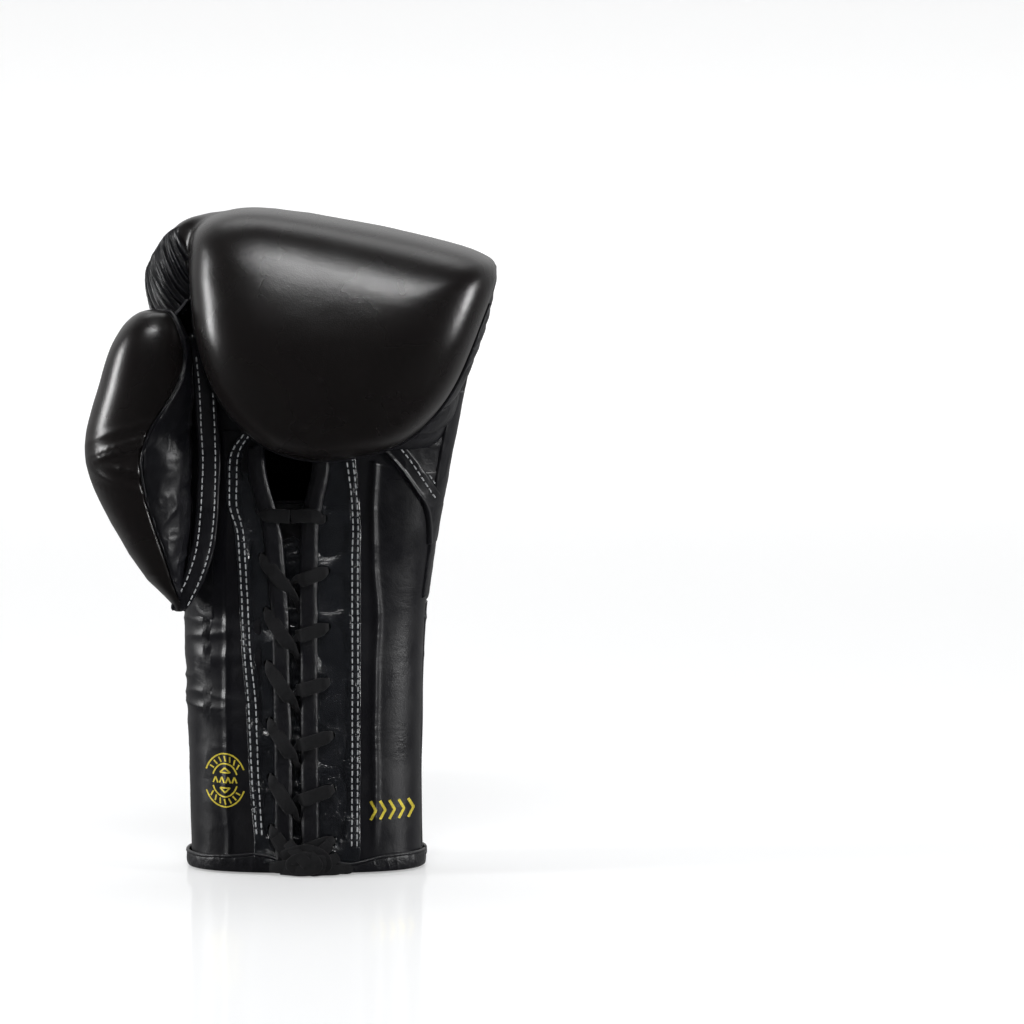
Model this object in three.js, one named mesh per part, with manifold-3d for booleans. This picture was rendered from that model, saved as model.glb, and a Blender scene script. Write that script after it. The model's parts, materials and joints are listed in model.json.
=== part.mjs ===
// Long-cuff lace-up boxing glove for the left hand, standing on its cuff.
// Millimetres, +Z up, palm side towards -Y, thumb towards -X.
// The origin is on the resting plane, below the middle of the whole glove's box.
import * as THREE from 'three';
import { mergeVertices } from 'three/addons/utils/BufferGeometryUtils.js';
import Module from 'manifold-3d';

const wasm = await Module();
wasm.setup();

// Driving dimensions
const CUFF_TOP = 126;         // where the thumb root starts
const FLAP_TOP = 182;         // top of the cuff half that opens
const ROLL_TOP = 178;         // top of the padded rolls, under the vent
const LEATHER = 1.5;          // hide thickness
const LAYER_GAP = 0.45;       // clearance between stitched layers
const CUFF_PAD_IN = 7.4;      // depth of the cuff padding's inner face
const LINING = 1.2;
const HEM_HEIGHT = 9;
const SQUARENESS = 2.5;       // superellipse exponent of the hand sections
const KNUCKLE_LAYERS = 3;
const LOBE_BULGE = 46;        // how far the curled finger pad stands off its rim
const LOBE_PAD_IN = 25;
const WELT_RADIUS = 1.1;
const LACE_WIDTH = 6;
const LACE_THICK = 1.4;
const EYELET_RADIUS = 3.3;
const FACING_EDGE_THUMB = -34.5;
const FACING_EDGE_OUTER = 24.5;
const BACK_SEAM = 32;         // half-width of the rear cuff panel
const HALF_TURN = Math.PI;
const RIGHT_ANGLE = Math.PI / 2;

// Frame offset that puts the origin under the middle of the box
const FRAME_SHIFT = new THREE.Vector3(-5, -8.5, 0);

// Sections of the hand's leather: height, thumb side, outer side, widest depth, palm face, back face
const handRows = [
  [0, -59.0, 58.6, 0, -33.5, 33.5],
  [60, -60.0, 58.4, 0, -34, 34],
  [120, -61.2, 60.2, 0, -34.5, 34],
  [150, -62.8, 63.2, -2, -36, 37.5],
  [175, -64.2, 67.2, -5, -37.5, 46],
  [205, -65.5, 72.8, -9, -38.5, 58.5],
  [235, -67, 78.6, -13, -39, 68],
  [262, -69.5, 84.5, -18, -39.5, 72.5],
  [285, -75, 90, -24, -40, 71],
  [300, -76, 89, -27, -40, 63],
  [311, -71, 76, -28.5, -40, 48],
  [320, -60, 46, -29, -40, 26],
  [327, -20, -12, -29.5, -40, -26],
];

// Sections of the empty space inside the padding, one for each row of the padded back
const cavityRows = [
  [126, -51.5, 50.5, 0, -24, 25],
  [175, -51, 53, -3, -24, 27],
  [205, -50, 56, -6, -24, 30],
  [235, -49, 60, -10, -24, 33],
  [258, -48, 63, -14, -24, 34],
  [272, -47, 64, -18, -24, 32],
  [281, -44, 58, -21, -24, 25],
  [287, -36, 44, -23, -24, 12],
  [290.5, -6, 4, -24, -24, -20],
];

// Thumb pod sections: height, outer side, inner side, palm face, back face
const thumbRows = [
  [130, -65.5, -59.5, -38, -26],
  [136, -70, -58.5, -44, -20],
  [147, -79, -56, -50, -16],
  [160, -90, -54, -55, -13],
  [178, -99.5, -52, -60, -14],
  [195, -107, -51.5, -63, -16],
  [212, -109.5, -51.5, -65, -19],
  [228, -106.5, -52, -66, -22],
  [243, -101, -53, -66, -25],
  [256, -96.5, -55.5, -65, -28],
  [267, -91.5, -59.5, -62, -32],
  [275, -86, -63, -58, -37],
  [279, -79.5, -67, -53, -43],
];

// Outline of the curled finger pad seen from the palm side, clockwise from the thumb-side corner
const lobeOutline = [
  [-54, 302], [-48, 319], [-32, 328], [-14, 330], [26, 324], [62, 316.5], [88, 308.5], [95.5, 299],
  [87, 272.5], [75.5, 245.5], [63, 228], [48, 216], [28, 210], [6, 208], [-16, 214], [-33, 228],
  [-45, 247.5], [-51, 267.5], [-53.5, 286],
];
const LOBE_CENTRE = new THREE.Vector2(18, 272);

// Lace holes from the vent down to the hem, thumb side then outer side
const eyeletsThumb = [
  [-21.8, 182], [-20.5, 159], [-18.5, 132], [-18, 105.5], [-17, 77], [-16.6, 49], [-16.4, 23.5],
];
const eyeletsOuter = [[10.5, 178], [11.6, 152], [11.6, 124], [12.1, 96.5], [13.6, 70], [14, 43], [14, 17.5]];

const lerp = THREE.MathUtils.lerp;

// Smooth value of a row table at a height
function sampleRows(rows, height) {
  const last = rows.length - 1;
  let i = 0;
  while (i < last - 1 && height > rows[i + 1][0]) i += 1;
  const low = rows[i];
  const high = rows[i + 1];
  const before = rows[Math.max(i - 1, 0)];
  const after = rows[Math.min(i + 2, last)];
  const span = high[0] - low[0];
  const t = (height - low[0]) / span;
  return low.map((value, k) => {
    const slopeLow = (high[k] - before[k]) / (high[0] - before[0]);
    const slopeHigh = (after[k] - low[k]) / (after[0] - low[0]);
    const a = 2 * t ** 3 - 3 * t ** 2 + 1;
    const b = t ** 3 - 2 * t ** 2 + t;
    const c = 3 * t ** 2 - 2 * t ** 3;
    const d = t ** 3 - t ** 2;
    return a * value + b * span * slopeLow + c * high[k] + d * span * slopeHigh;
  });
}

function bulge(value) {
  return Math.sign(value) * Math.abs(value) ** (2 / SQUARENESS);
}

function sectionPoint(row, angle, depth, height) {
  const [, left, right, midY, front, back] = row;
  const halfWidth = (right - left) / 2 - depth;
  const reach = Math.sin(angle) < 0 ? midY - front - depth : back - midY - depth;
  const x = (left + right) / 2 + halfWidth * bulge(Math.cos(angle));
  return new THREE.Vector3(x, midY + reach * bulge(Math.sin(angle)), height);
}

function handPoint(angle, height, depth = 0) {
  return sectionPoint(sampleRows(handRows, height), angle, depth, height);
}

// Section angle on the palm face (side -1) or the back face (side 1) at a given x
function angleAtX(x, height, side = -1) {
  const [, left, right] = sampleRows(handRows, height);
  const share = THREE.MathUtils.clamp((x - (left + right) / 2) / ((right - left) / 2), -1, 1);
  const cosine = Math.sign(share) * Math.abs(share) ** (SQUARENESS / 2);
  const angle = side * Math.acos(cosine);
  return side > 0 ? angle - 2 * HALF_TURN : angle;
}

// Closed geometry from raw triangles: shared points are joined and every face is turned outwards
function closedGeometry(positions, triangles) {
  const raw = new THREE.BufferGeometry();
  raw.setAttribute('position', new THREE.Float32BufferAttribute(positions, 3));
  raw.setIndex(triangles);
  const merged = mergeVertices(raw, 1e-3);
  const index = Array.from(merged.index.array);
  const p = merged.attributes.position.array;
  const kept = [];
  let volume = 0;
  for (let i = 0; i < index.length; i += 3) {
    const [a, b, c] = index.slice(i, i + 3);
    if (a === b || b === c || a === c) continue;
    kept.push(a, b, c);
    const [ax, ay, az] = p.slice(3 * a, 3 * a + 3);
    const [bx, by, bz] = p.slice(3 * b, 3 * b + 3);
    const [cx, cy, cz] = p.slice(3 * c, 3 * c + 3);
    volume += ax * (by * cz - bz * cy) + ay * (bz * cx - bx * cz) + az * (bx * cy - by * cx);
  }
  if (volume < 0) kept.reverse();
  merged.setIndex(kept);
  return merged;
}

// Closed slab between two mapped sheets: point(u, v, side) with side 0 outside and 1 inside
function slab(point, across, along, ringShaped = false) {
  const positions = [];
  const triangles = [];
  const columns = across + 1;
  const layer = columns * (along + 1);
  for (const side of [0, 1]) {
    for (let j = 0; j <= along; j += 1) {
      for (let i = 0; i <= across; i += 1) {
        const u = ringShaped && i === across ? 0 : i / across;
        positions.push(...point(u, j / along, side).toArray());
      }
    }
  }
  const quad = (a, b, c, d) => triangles.push(a, b, c, a, c, d);
  for (let j = 0; j < along; j += 1) {
    for (let i = 0; i < across; i += 1) {
      const a = j * columns + i;
      const b = a + columns;
      quad(a, a + 1, b + 1, b);
      quad(layer + a, layer + b, layer + b + 1, layer + a + 1);
    }
  }
  for (let i = 0; i < across; i += 1) {
    const top = along * columns + i;
    quad(i, layer + i, layer + i + 1, i + 1);
    quad(top, top + 1, layer + top + 1, layer + top);
  }
  if (!ringShaped) {
    for (let j = 0; j < along; j += 1) {
      const a = j * columns;
      const b = a + across;
      quad(a, a + columns, layer + a + columns, layer + a);
      quad(b, layer + b, layer + b + columns, b + columns);
    }
  }
  return closedGeometry(positions, triangles);
}

// Closed tube through stations, each with a centre, two half-axes and a section of flat sides
function sweptTube(stations, sides) {
  const positions = [];
  const triangles = [];
  for (const { centre, across, out } of stations) {
    for (let i = 0; i < sides; i += 1) {
      const angle = (i / sides) * 2 * HALF_TURN;
      const point = centre.clone().addScaledVector(across, Math.cos(angle));
      positions.push(...point.addScaledVector(out, Math.sin(angle)).toArray());
    }
  }
  for (let j = 0; j < stations.length - 1; j += 1) {
    for (let i = 0; i < sides; i += 1) {
      const next = (i + 1) % sides;
      const a = j * sides + i;
      const b = j * sides + next;
      triangles.push(a, b, b + sides, a, b + sides, a + sides);
    }
  }
  const end = (stations.length - 1) * sides;
  for (let i = 1; i < sides - 1; i += 1) {
    triangles.push(0, i + 1, i);
    triangles.push(end, end + i, end + i + 1);
  }
  return closedGeometry(positions, triangles);
}

// Round cord of one radius along a list of points
function roundCord(points, radius, sides = 8) {
  const stations = points.map((centre, i) => {
    const ahead = points[Math.min(i + 1, points.length - 1)];
    const behind = points[Math.max(i - 1, 0)];
    const tangent = ahead.clone().sub(behind).normalize();
    const guide = Math.abs(tangent.y) > 0.9 ? new THREE.Vector3(1, 0, 0) : new THREE.Vector3(0, 1, 0);
    const across = new THREE.Vector3().crossVectors(tangent, guide).normalize();
    const out = new THREE.Vector3().crossVectors(across, tangent).normalize();
    return { centre, across: across.multiplyScalar(radius), out: out.multiplyScalar(radius) };
  });
  return sweptTube(stations, sides);
}

function solidOf(geometry) {
  const plain = new THREE.BufferGeometry();
  plain.setAttribute('position', geometry.attributes.position);
  if (geometry.index) plain.setIndex(geometry.index);
  const merged = mergeVertices(plain, 1e-3);
  return new wasm.Manifold(new wasm.Mesh({
    numProp: 3,
    vertProperties: merged.attributes.position.array,
    triVerts: new Uint32Array(merged.index.array),
  }));
}

function geometryOf(solid) {
  const mesh = solid.getMesh();
  return closedGeometry(Array.from(mesh.vertProperties), Array.from(mesh.triVerts));
}

// What is left after the cuts; slivers that a cut separates are dropped
function cut(geometry, ...tools) {
  const rest = tools.reduce((solid, tool) => solid.subtract(solidOf(tool)), solidOf(geometry));
  const pieces = rest.decompose().sort((a, b) => b.volume() - a.volume());
  return geometryOf(pieces[0]);
}

// Leather or padding that follows the hand sections between two x edges or angles
function handPatch({ from, to, low, high, outer, inner, across, along }) {
  const angleOf = (edge, z) => (typeof edge === 'function' ? edge(z) : edge);
  return slab((u, v, side) => {
    const z = lerp(low, high, v);
    const angle = lerp(angleOf(from, z), angleOf(to, z), u);
    return handPoint(angle, z, side ? inner : outer);
  }, across, along);
}

const atFront = (x) => (z) => angleAtX(x, z, -1);
const atBack = (x) => (z) => angleAtX(x, z, 1);

const looks = {
  leather: { color: '#161619', roughness: 0.34, metalness: 0 },
  padLeather: { color: '#1b1716', roughness: 0.28, metalness: 0 },
  foam: { color: '#8b8578', roughness: 0.95, metalness: 0 },
  lining: { color: '#1a1a1d', roughness: 0.9, metalness: 0 },
  binding: { color: '#131316', roughness: 0.4, metalness: 0 },
  lace: { color: '#121214', roughness: 0.85, metalness: 0 },
};

const glove = new THREE.Group();
glove.position.copy(FRAME_SHIFT).negate();

function add(name, look, geometry) {
  const mesh = new THREE.Mesh(geometry, new THREE.MeshStandardMaterial(looks[look]));
  mesh.name = name;
  glove.add(mesh);
}

function replaceGeometry(name, tool) {
  const mesh = glove.getObjectByName(name);
  mesh.geometry = cut(mesh.geometry, tool);
}

// Cuff panels
const EDGE_GAP = 0.5;
const SIDE_SEAM = -0.1;       // section angle of the hinge line on the outer side
add('cuff_thumb_panel', 'leather', handPatch({
  from: atBack(-BACK_SEAM), to: atFront(FACING_EDGE_THUMB - EDGE_GAP),
  low: HEM_HEIGHT + EDGE_GAP, high: CUFF_TOP - EDGE_GAP, outer: 0, inner: LEATHER, across: 12, along: 4,
}));
add('cuff_outer_panel', 'leather', handPatch({
  from: atFront(FACING_EDGE_OUTER + EDGE_GAP), to: SIDE_SEAM,
  low: HEM_HEIGHT + EDGE_GAP, high: FLAP_TOP, outer: 0, inner: LEATHER, across: 8, along: 6,
}));
add('cuff_back_panel', 'leather', handPatch({
  from: SIDE_SEAM + 0.012 - 2 * HALF_TURN, to: atBack(-BACK_SEAM + EDGE_GAP),
  low: HEM_HEIGHT + EDGE_GAP, high: CUFF_TOP + 6, outer: 0, inner: LEATHER, across: 14, along: 4,
}));

// Lace facings with punched holes, and the padded rolls along the gap
const ROLL_HALF_WIDTH = 3.5;
const ROLL_HALF_THICK = 1.9;
const rollThumb = (z) => lerp(-10.5, -15.8, THREE.MathUtils.smoothstep(z, 60, ROLL_TOP));
const rollOuter = (z) => lerp(3.6, 4.2, THREE.MathUtils.smoothstep(z, 60, ROLL_TOP));

function eyeletPunch([x, z]) {
  const punch = new THREE.CylinderGeometry(EYELET_RADIUS, EYELET_RADIUS, 16, 8);
  return punch.translate(x, handPoint(-RIGHT_ANGLE, z).y, z);
}
const FACING_TOP = 206;
const facingThumb = handPatch({
  from: atFront(FACING_EDGE_THUMB), to: (z) => angleAtX(rollThumb(z) - ROLL_HALF_WIDTH - EDGE_GAP, z),
  low: HEM_HEIGHT + EDGE_GAP, high: FACING_TOP, outer: 0, inner: LEATHER, across: 3, along: 9,
});
add('lace_facing_thumb', 'leather', cut(facingThumb, ...eyeletsThumb.map(eyeletPunch)));
const facingOuter = handPatch({
  from: (z) => angleAtX(rollOuter(z) + ROLL_HALF_WIDTH + EDGE_GAP, z), to: atFront(FACING_EDGE_OUTER),
  low: HEM_HEIGHT + EDGE_GAP, high: FLAP_TOP, outer: 0, inner: LEATHER, across: 3, along: 8,
});
add('lace_facing_outer', 'leather', cut(facingOuter, ...eyeletsOuter.map(eyeletPunch)));

function laceRoll(centreX, low, high) {
  const count = 12;
  const stations = Array.from({ length: count + 1 }, (_, i) => {
    const z = lerp(low, high, i / count);
    const x = centreX(z);
    const centre = handPoint(angleAtX(x, z), z, 0.6);
    return {
      centre,
      across: new THREE.Vector3(ROLL_HALF_WIDTH, 0, 0),
      out: new THREE.Vector3(0, ROLL_HALF_THICK, 0),
    };
  });
  return sweptTube(stations, 10);
}
add('lace_roll_thumb', 'binding', laceRoll(rollThumb, HEM_HEIGHT + 1, ROLL_TOP));
add('lace_roll_outer', 'binding', laceRoll(rollOuter, HEM_HEIGHT + 1, ROLL_TOP));

// Padding and lining of the cuff
const padOuter = LEATHER + LAYER_GAP;
add('cuff_pad', 'foam', handPatch({
  from: SIDE_SEAM + 0.02 - 2 * HALF_TURN, to: atFront(FACING_EDGE_THUMB - 1),
  low: HEM_HEIGHT + 1, high: CUFF_TOP - 1, outer: padOuter, inner: CUFF_PAD_IN, across: 24, along: 3,
}));
add('cuff_flap_pad', 'foam', handPatch({
  from: atFront(FACING_EDGE_OUTER + 1), to: SIDE_SEAM - 0.02,
  low: HEM_HEIGHT + 1, high: FLAP_TOP - 1, outer: padOuter, inner: CUFF_PAD_IN, across: 8, along: 6,
}));
const liningOuter = CUFF_PAD_IN + LAYER_GAP;
add('hand_lining', 'lining', handPatch({
  from: -0.75 - 2 * HALF_TURN, to: atFront(FACING_EDGE_THUMB + 2),
  low: 1, high: CUFF_TOP - 1, outer: liningOuter, inner: liningOuter + LINING, across: 24, along: 3,
}));
add('lace_tongue', 'lining', handPatch({
  from: atFront(-30), to: atFront(20),
  low: 2, high: 176, outer: liningOuter, inner: liningOuter + 2.2, across: 6, along: 9,
}));

// Hem binding: a folded strip round the cuff's end, split at the flap
function hemBinding(from, to, across) {
  return slab((u, v, side) => {
    const z = v * HEM_HEIGHT;
    const angle = lerp(from, to, u);
    const swell = 0.9 * Math.sin(v * HALF_TURN);
    return handPoint(angle, Math.max(z, 0.001), side ? liningOuter - LAYER_GAP : -swell);
  }, across, 3);
}
add('hem_binding', 'binding', hemBinding(SIDE_SEAM + 0.02 - 2 * HALF_TURN, angleAtX(-7.5, 4), 30));
add('hem_binding_flap', 'binding', hemBinding(angleAtX(-0.5, 4), SIDE_SEAM - 0.02, 12));

// Padded back of the hand, over the knuckles to the fold line on top
const shellLow = CUFF_TOP + 7;
const shellHigh = 327;
const cavityLow = CUFF_TOP + 7;
const cavityHigh = 290.5;
const backFrom = 0.02;
const backTo = HALF_TURN - 0.02;
const BACK_ROWS = 12;
const BACK_COLUMNS = 14;

function backPoint(angle, v, depth) {
  const ease = 1 - (1 - v) ** 1.35;
  const outside = handPoint(angle, lerp(shellLow, shellHigh, ease));
  const z = lerp(cavityLow, cavityHigh, ease);
  const inside = sectionPoint(sampleRows(cavityRows, z), angle, 0, z);
  const span = outside.distanceTo(inside);
  const layered = padOuter + (depth.share ?? 0) * (span - padOuter) + (depth.offset ?? 0);
  const travel = typeof depth === 'number' ? depth : layered;
  return outside.lerp(inside, travel / span);
}
add('back_shell', 'padLeather', slab(
  (u, v, side) => backPoint(lerp(backFrom, backTo, u), v, side ? LEATHER : 0), BACK_COLUMNS, BACK_ROWS,
));
const knuckleNames = ['knuckle_pad_outer', 'knuckle_pad_middle', 'knuckle_pad_inner'];
knuckleNames.forEach((name, layer) => {
  add(name, 'foam', slab((u, v, side) => {
    const share = (layer + side) / KNUCKLE_LAYERS;
    const offset = side ? -LAYER_GAP / 2 : LAYER_GAP / 2;
    return backPoint(lerp(backFrom, backTo, u), v, { share: share * 0.88, offset });
  }, BACK_COLUMNS, BACK_ROWS));
});
const wristWelt = Array.from({ length: 17 }, (_, i) => {
  const angle = lerp(0.06, HALF_TURN - 0.06, i / 16);
  return handPoint(angle, CUFF_TOP + 5.5, -WELT_RADIUS - 0.4);
});
add('wrist_welt', 'binding', roundCord(wristWelt, WELT_RADIUS));

// Palm side leather
const CREASE_TOP = 258;
add('palm_panel', 'leather', handPatch({
  from: atFront(-44), to: atFront(66),
  low: FACING_TOP + 8, high: CREASE_TOP, outer: 0, inner: LEATHER, across: 9, along: 4,
}));
add('palm_strip_thumb', 'leather', handPatch({
  from: atFront(-44.5), to: atFront(FACING_EDGE_THUMB - EDGE_GAP),
  low: CUFF_TOP, high: FACING_TOP + 7.5, outer: 0, inner: LEATHER, across: 2, along: 6,
}));
add('heel_panel', 'leather', handPatch({
  from: atFront(FACING_EDGE_OUTER + EDGE_GAP), to: -0.46,
  low: FLAP_TOP + 1, high: FACING_TOP + 7.5, outer: 0, inner: LEATHER, across: 5, along: 3,
}));
add('side_panel', 'leather', handPatch({
  from: -0.45, to: -0.02,
  low: FLAP_TOP + 1, high: 216, outer: 0, inner: LEATHER, across: 4, along: 3,
}));
add('thumb_root_band', 'leather', handPatch({
  from: -HALF_TURN + 0.03, to: atFront(-45),
  low: CUFF_TOP, high: 240, outer: 0, inner: LEATHER, across: 5, along: 8,
}));

// Bound edge of the palm vent: an arch from one lace roll over to the other
const ventArch = Array.from({ length: 13 }, (_, i) => {
  const angle = lerp(HALF_TURN, 0, i / 12);
  const x = -6.6 + 16.2 * Math.cos(angle);
  const z = 191 + 19 * Math.sin(angle);
  return handPoint(angleAtX(x, z), z, -0.6);
});
const ventFace = handPoint(-RIGHT_ANGLE, 195).y;
const ventPunch = new THREE.CylinderGeometry(22, 22, 20, 24).translate(-6.6, ventFace, 195);
add('vent_binding', 'binding', roundCord(ventArch, 2.4));
replaceGeometry('palm_panel', ventPunch);
const stripCut = new THREE.BoxGeometry(47, 20, 34).translate(-4.4, handPoint(-RIGHT_ANGLE, 195).y, 198);
replaceGeometry('lace_facing_thumb', stripCut);

// Grip bar across the palm under the curled fingers, and the inner finger stall lining
const GRIP_RADIUS = 7;
const GRIP_LENGTH = 82;
add('grip_bar', 'foam', new THREE.CylinderGeometry(GRIP_RADIUS, GRIP_RADIUS, GRIP_LENGTH, 14)
  .rotateZ(RIGHT_ANGLE).translate(5, -26, 243));
add('finger_lining', 'lining', slab((u, v, side) => {
  const reach = lerp(0.34, 1, v * 0.985);
  const angle = lerp(backFrom + 0.03, backTo - 0.03, u);
  return backPoint(angle, reach, { share: side ? 0.985 : 0.925, offset: 0 });
}, BACK_COLUMNS, 9));

// Curled finger pad: nested domes on the same outline
const lobeCurve = new THREE.CatmullRomCurve3(lobeOutline.map(([x, z]) => new THREE.Vector3(x, 0, z)), true);
const rimY = (z) => lerp(-44.5, -31, THREE.MathUtils.smoothstep(z, 262, 328));

function lobePoint(u, v, inset, rimBack = 0) {
  const edge = lobeCurve.getPoint(u);
  const fromCentre = new THREE.Vector2(edge.x, edge.z).sub(LOBE_CENTRE);
  const phi = v * RIGHT_ANGLE;
  const spread = Math.cos(phi) ** 0.72;
  const lift = Math.sin(phi) ** 0.72;
  const reach = (fromCentre.length() - inset) * spread;
  const flat = fromCentre.normalize().multiplyScalar(reach).add(LOBE_CENTRE);
  const y = rimY(flat.y) - rimBack - (LOBE_BULGE - inset - rimBack) * lift;
  return new THREE.Vector3(flat.x, y, flat.y);
}
const LOBE_COLUMNS = 28;
const LOBE_ROWS = 6;
add('fist_shell', 'padLeather', slab(
  (u, v, side) => lobePoint(u, v, side ? LEATHER : 0), LOBE_COLUMNS, LOBE_ROWS, true,
));
add('fist_pad', 'foam', slab(
  (u, v, side) => lobePoint(u, v, side ? LOBE_PAD_IN : padOuter + 0.6, 2.4), LOBE_COLUMNS, LOBE_ROWS, true,
));
add('finger_pocket_lining', 'lining', slab(
  (u, v, side) => lobePoint(u, v, LOBE_PAD_IN + (side ? 1.8 : 0.6), 2.4), LOBE_COLUMNS, LOBE_ROWS, true,
));
function lobeRear(low, high, name) {
  add(name, 'leather', slab((u, v, side) => {
    const z = lerp(low, high, v);
    const half = Math.min((z - 205) * 1.6, 50) - 6;
    const middle = lerp(16, 19, v);
    return new THREE.Vector3(middle + lerp(-half, half, u), rimY(z) - (side ? 1.9 : 0.4), z);
  }, 8, 5));
}
lobeRear(213.5, CREASE_TOP, 'fist_inner_panel');
const weltPath = Array.from({ length: 23 }, (_, i) => {
  const u = lerp(0.37, 0.985, i / 22);
  const edge = lobePoint(u, 0, -WELT_RADIUS - 0.5);
  edge.y -= 1.4;
  return edge;
});
add('fist_welt', 'binding', roundCord(weltPath, WELT_RADIUS));

// Gathered side gussets between the curled pad and the back
function gusset({ low, high, edge, side, push, across, along }) {
  return slab((u, v, face) => {
    const z = lerp(low, high, v);
    const near = edge(z);
    const far = handPoint(side > 0 ? -0.04 : -HALF_TURN + 0.04, z, -1.1);
    far.y -= 1.5;
    const middle = new THREE.Vector3(far.x + side * push, lerp(near.y, far.y, 0.45), z);
    const inset = face * LEATHER;
    const point = near.clone().multiplyScalar((1 - u) ** 2);
    point.addScaledVector(middle, 2 * u * (1 - u)).addScaledVector(far, u ** 2);
    point.x -= side * inset;
    return point;
  }, across, along);
}
function lobeSideX(z, side) {
  let best = side > 0 ? -Infinity : Infinity;
  for (let i = 0; i < 200; i += 1) {
    const point = lobeCurve.getPoint(i / 200);
    if (Math.abs(point.z - z) < 3) best = side > 0 ? Math.max(best, point.x) : Math.min(best, point.x);
  }
  return best;
}
add('index_gusset', 'leather', gusset({
  low: 287, high: 318, side: -1, push: 6, across: 6, along: 6,
  edge: (z) => new THREE.Vector3(lobeSideX(z, -1) - 1.4, rimY(z) - 5, z),
}));
add('little_gusset', 'leather', gusset({
  low: 219, high: 288, side: 1, push: 5, across: 6, along: 7,
  edge: (z) => new THREE.Vector3(lobeSideX(z, 1) + 4.4, rimY(z) - 4, z),
}));

// Thumb pod beside the palm
function thumbPoint(angle, v, depth) {
  const z = lerp(130, 279, v);
  const [, left, right, front, back] = sampleRows(thumbRows, z);
  const halfX = (right - left) / 2;
  const halfY = (back - front) / 2;
  const inset = depth * Math.min(1, Math.min(halfX, halfY) / 16);
  const x = (left + right) / 2 + (halfX - inset) * Math.cos(angle);
  const y = (front + back) / 2 + (halfY - inset) * Math.sin(angle);
  const tipDrop = inset * Math.max(0, (v - 0.8) / 0.2) + inset * Math.min(0, (v - 0.12) / 0.12);
  return new THREE.Vector3(x, y, z - tipDrop);
}
const thumbSwell = (v) => Math.sin(THREE.MathUtils.clamp(v, 0, 1) * HALF_TURN) ** 0.8;
const thumbSeamFront = (v) => lerp(-1.15, -2.05, thumbSwell(v));
const envelope = closedGeometryOfHand(0.6);

// One closed solid of the hand's outside, used to trim the thumb
function closedGeometryOfHand(grow) {
  const stations = Array.from({ length: 18 }, (_, i) => {
    const z = lerp(100, 305, i / 17);
    return Array.from({ length: 40 }, (_unused, k) => handPoint((k / 40) * 2 * HALF_TURN, z, -grow));
  });
  const positions = stations.flat().flatMap((point) => point.toArray());
  const triangles = [];
  for (let j = 0; j < 17; j += 1) {
    for (let i = 0; i < 40; i += 1) {
      const next = (i + 1) % 40;
      const a = j * 40 + i;
      const b = j * 40 + next;
      triangles.push(a, b, b + 40, a, b + 40, a + 40);
    }
  }
  for (let i = 1; i < 39; i += 1) {
    triangles.push(0, i + 1, i);
    triangles.push(17 * 40, 17 * 40 + i, 17 * 40 + i + 1);
  }
  return closedGeometry(positions, triangles);
}
function thumbPatch(from, to, low, high, outer, inner, across, along) {
  return slab((u, v, side) => {
    const t = lerp(low, high, v);
    return thumbPoint(lerp(from(t), to(t), u), t, side ? inner : outer);
  }, across, along);
}
// Way through for the thumb, from the hand compartment into its own stall
const thumbDoor = new THREE.BoxGeometry(40, 13, 26).translate(-56, -28, 166);
const THUMB_COLUMNS = 10;
const THUMB_ROWS = 10;
const THUMB_REAR = -HALF_TURN * 1.55;
add('thumb_back_shell', 'padLeather', cut(thumbPatch(
  () => THUMB_REAR, (t) => thumbSeamFront(t) - 0.01, 0.04, 1, 0, LEATHER, THUMB_COLUMNS, THUMB_ROWS,
), envelope));
add('thumb_inner_panel', 'leather', cut(thumbPatch(
  (t) => thumbSeamFront(t) + 0.01, () => THUMB_REAR + 2 * HALF_TURN - 0.02,
  0.04, 1, 0, LEATHER, THUMB_COLUMNS, THUMB_ROWS,
), envelope, thumbDoor));
add('thumb_pad', 'foam', cut(thumbPatch(
  () => THUMB_REAR, (t) => thumbSeamFront(t) - 0.01,
  0.04, 1, padOuter + 0.4, 10, THUMB_COLUMNS, THUMB_ROWS,
), envelope));
add('thumb_lining', 'lining', cut(slab(
  (u, v, side) => thumbPoint(u * 2 * HALF_TURN, lerp(0.14, 0.92, v), side ? 12.2 : 11.2), 16, 8, true,
), envelope, thumbDoor));
replaceGeometry('thumb_root_band', thumbDoor);

// Short leather tie that keeps the thumb tip beside the fist
const TETHER_HALF = 5;
const TETHER_STEPS = 4;
add('thumb_tether', 'leather', slab((u, v, side) => {
  const arc = Math.sin(v * HALF_TURN) * 1.6;
  const x = lerp(-66, -59.6, v) - arc + side * 1.2;
  const y = lerp(-48, -42, v) + lerp(-TETHER_HALF, TETHER_HALF, u);
  return new THREE.Vector3(x, y, lerp(279.6, 285.2, v) + arc - side * 0.9);
}, 2, TETHER_STEPS));

// Flat lace: a ribbon through stations, each with its half-width and a direction its flat face looks in
function ribbon(stations) {
  let normal = new THREE.Vector3(0, -1, 0);
  let lastTangent = null;
  const placed = stations.map(({ at, half, guide }, i) => {
    const ahead = stations[Math.min(i + 1, stations.length - 1)].at;
    const behind = stations[Math.max(i - 1, 0)].at;
    const tangent = ahead.clone().sub(behind).normalize();
    if (lastTangent) {
      const turn = new THREE.Quaternion().setFromUnitVectors(lastTangent, tangent);
      normal.applyQuaternion(turn);
    }
    const wanted = guide.clone().addScaledVector(tangent, -guide.dot(tangent)).normalize();
    normal = wanted.multiplyScalar(Math.sign(wanted.dot(normal)) || 1);
    lastTangent = tangent;
    const across = new THREE.Vector3().crossVectors(tangent, normal).normalize();
    const out = normal.clone().multiplyScalar(LACE_THICK / 2);
    return { centre: at, across: across.multiplyScalar(half), out };
  });
  return sweptTube(placed, 6);
}

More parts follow.
